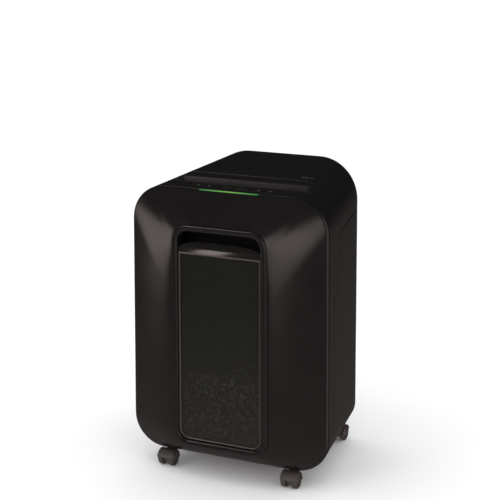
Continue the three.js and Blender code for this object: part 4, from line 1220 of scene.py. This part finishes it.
def card_light(name, azimuth, elevation, size, roll, power):
    """A light that the gloss mirrors: angles in degrees, azimuth from straight ahead towards the right."""
    turn, lift = math.radians(azimuth), math.radians(elevation)
    away = Vector((math.sin(turn) * math.cos(lift), -math.cos(turn) * math.cos(lift), math.sin(lift)))
    card = area_light(name, LIGHTS_AIM + away * CARD_DISTANCE, LIGHTS_AIM, size, power, roll, STUDIO_TINT)
    card.visible_camera = False


def light_scene():
    world = bpy.data.worlds.new("studio")
    world.use_nodes = True
    tree = world.node_tree
    tree.nodes.clear()
    path = add(tree, "ShaderNodeLightPath")
    seen = add(tree, "ShaderNodeBackground", {"Color": linear("#ffffff"), "Strength": 1.0})
    aim = add(tree, "ShaderNodeTexCoord")
    height = add(tree, "ShaderNodeSeparateXYZ", {"Vector": aim.outputs["Generated"]})
    floor_ahead = remap(tree, height.outputs["Z"], 0.34, 0.055, -0.385, -0.285)
    floor_behind = remap(tree, height.outputs["Z"], 0.1, 0.006, -0.4, 0.0)
    behind = remap(tree, height.outputs["Y"], 0.0, 1.0, -0.2, 0.5)
    glow = add(tree, "ShaderNodeMix", {"Factor": behind, 2: floor_ahead, 3: floor_behind}, data_type="FLOAT")
    rim = remap(tree, height.outputs["X"], 0.0, 0.75, 0.72, 0.92)
    total = add(tree, "ShaderNodeMath", {0: glow.outputs[0], 1: rim})
    glossy = add(tree, "ShaderNodeBackground", {"Color": linear(STUDIO_TINT), "Strength": total.outputs[0]})
    fill = add(tree, "ShaderNodeBackground", {"Color": linear("#ffffff"), "Strength": 1.15})
    inner = add(tree, "ShaderNodeMixShader", {0: path.outputs["Is Glossy Ray"], 1: fill.outputs[0],
                                              2: glossy.outputs[0]})
    outer = add(tree, "ShaderNodeMixShader", {0: path.outputs["Is Camera Ray"], 1: inner.outputs[0],
                                              2: seen.outputs[0]})
    add(tree, "ShaderNodeOutputWorld", {"Surface": outer.outputs[0]})
    bpy.context.scene.world = world

    overhead = area_light("overhead_softbox", (-0.3, -0.4, 2.3), (0.0, -0.12, 0.4), (1.6, 1.2), 4)
    overhead.visible_glossy = False
    card_light("right_card", 12, -2, (1.1, 0.8), 24, 6.5)
    card_light("left_card", -64, -6, (0.7, 0.7), 0, 3.4)
    card_light("front_card", -28, 15, (0.36, 1.1), 0, 6)


CAMERA_PLACE, CAMERA_AIM = Vector((0.8619, -1.9306, 0.9074)), Vector((0.0368, -0.098, 0.3885))
CAMERA_LENS, CAMERA_SENSOR = 94.7, 36.0


def make_camera():
    camera = bpy.data.objects.new("camera", bpy.data.cameras.new("camera"))
    camera.data.sensor_width = CAMERA_SENSOR
    camera.data.lens = CAMERA_LENS
    camera.data.clip_end = 50.0
    camera.location = CAMERA_PLACE
    camera.rotation_euler = (CAMERA_AIM - CAMERA_PLACE).to_track_quat("-Z", "Y").to_euler()
    bpy.context.scene.collection.objects.link(camera)
    bpy.context.scene.camera = camera
    bpy.context.scene.view_settings.view_transform = "Standard"


for make in (make_camera, make_bezel, make_head_cover, make_cabinet, make_throat, make_buttons,
             make_status_light, make_marks, make_bin_cover, make_window_frame, make_window_trim,
             make_window_pane, make_grip_lip, make_scoop, make_shreds, make_service_panel,
             make_screws, make_casters, paint_kept_pieces, make_floor, light_scene):
    make()
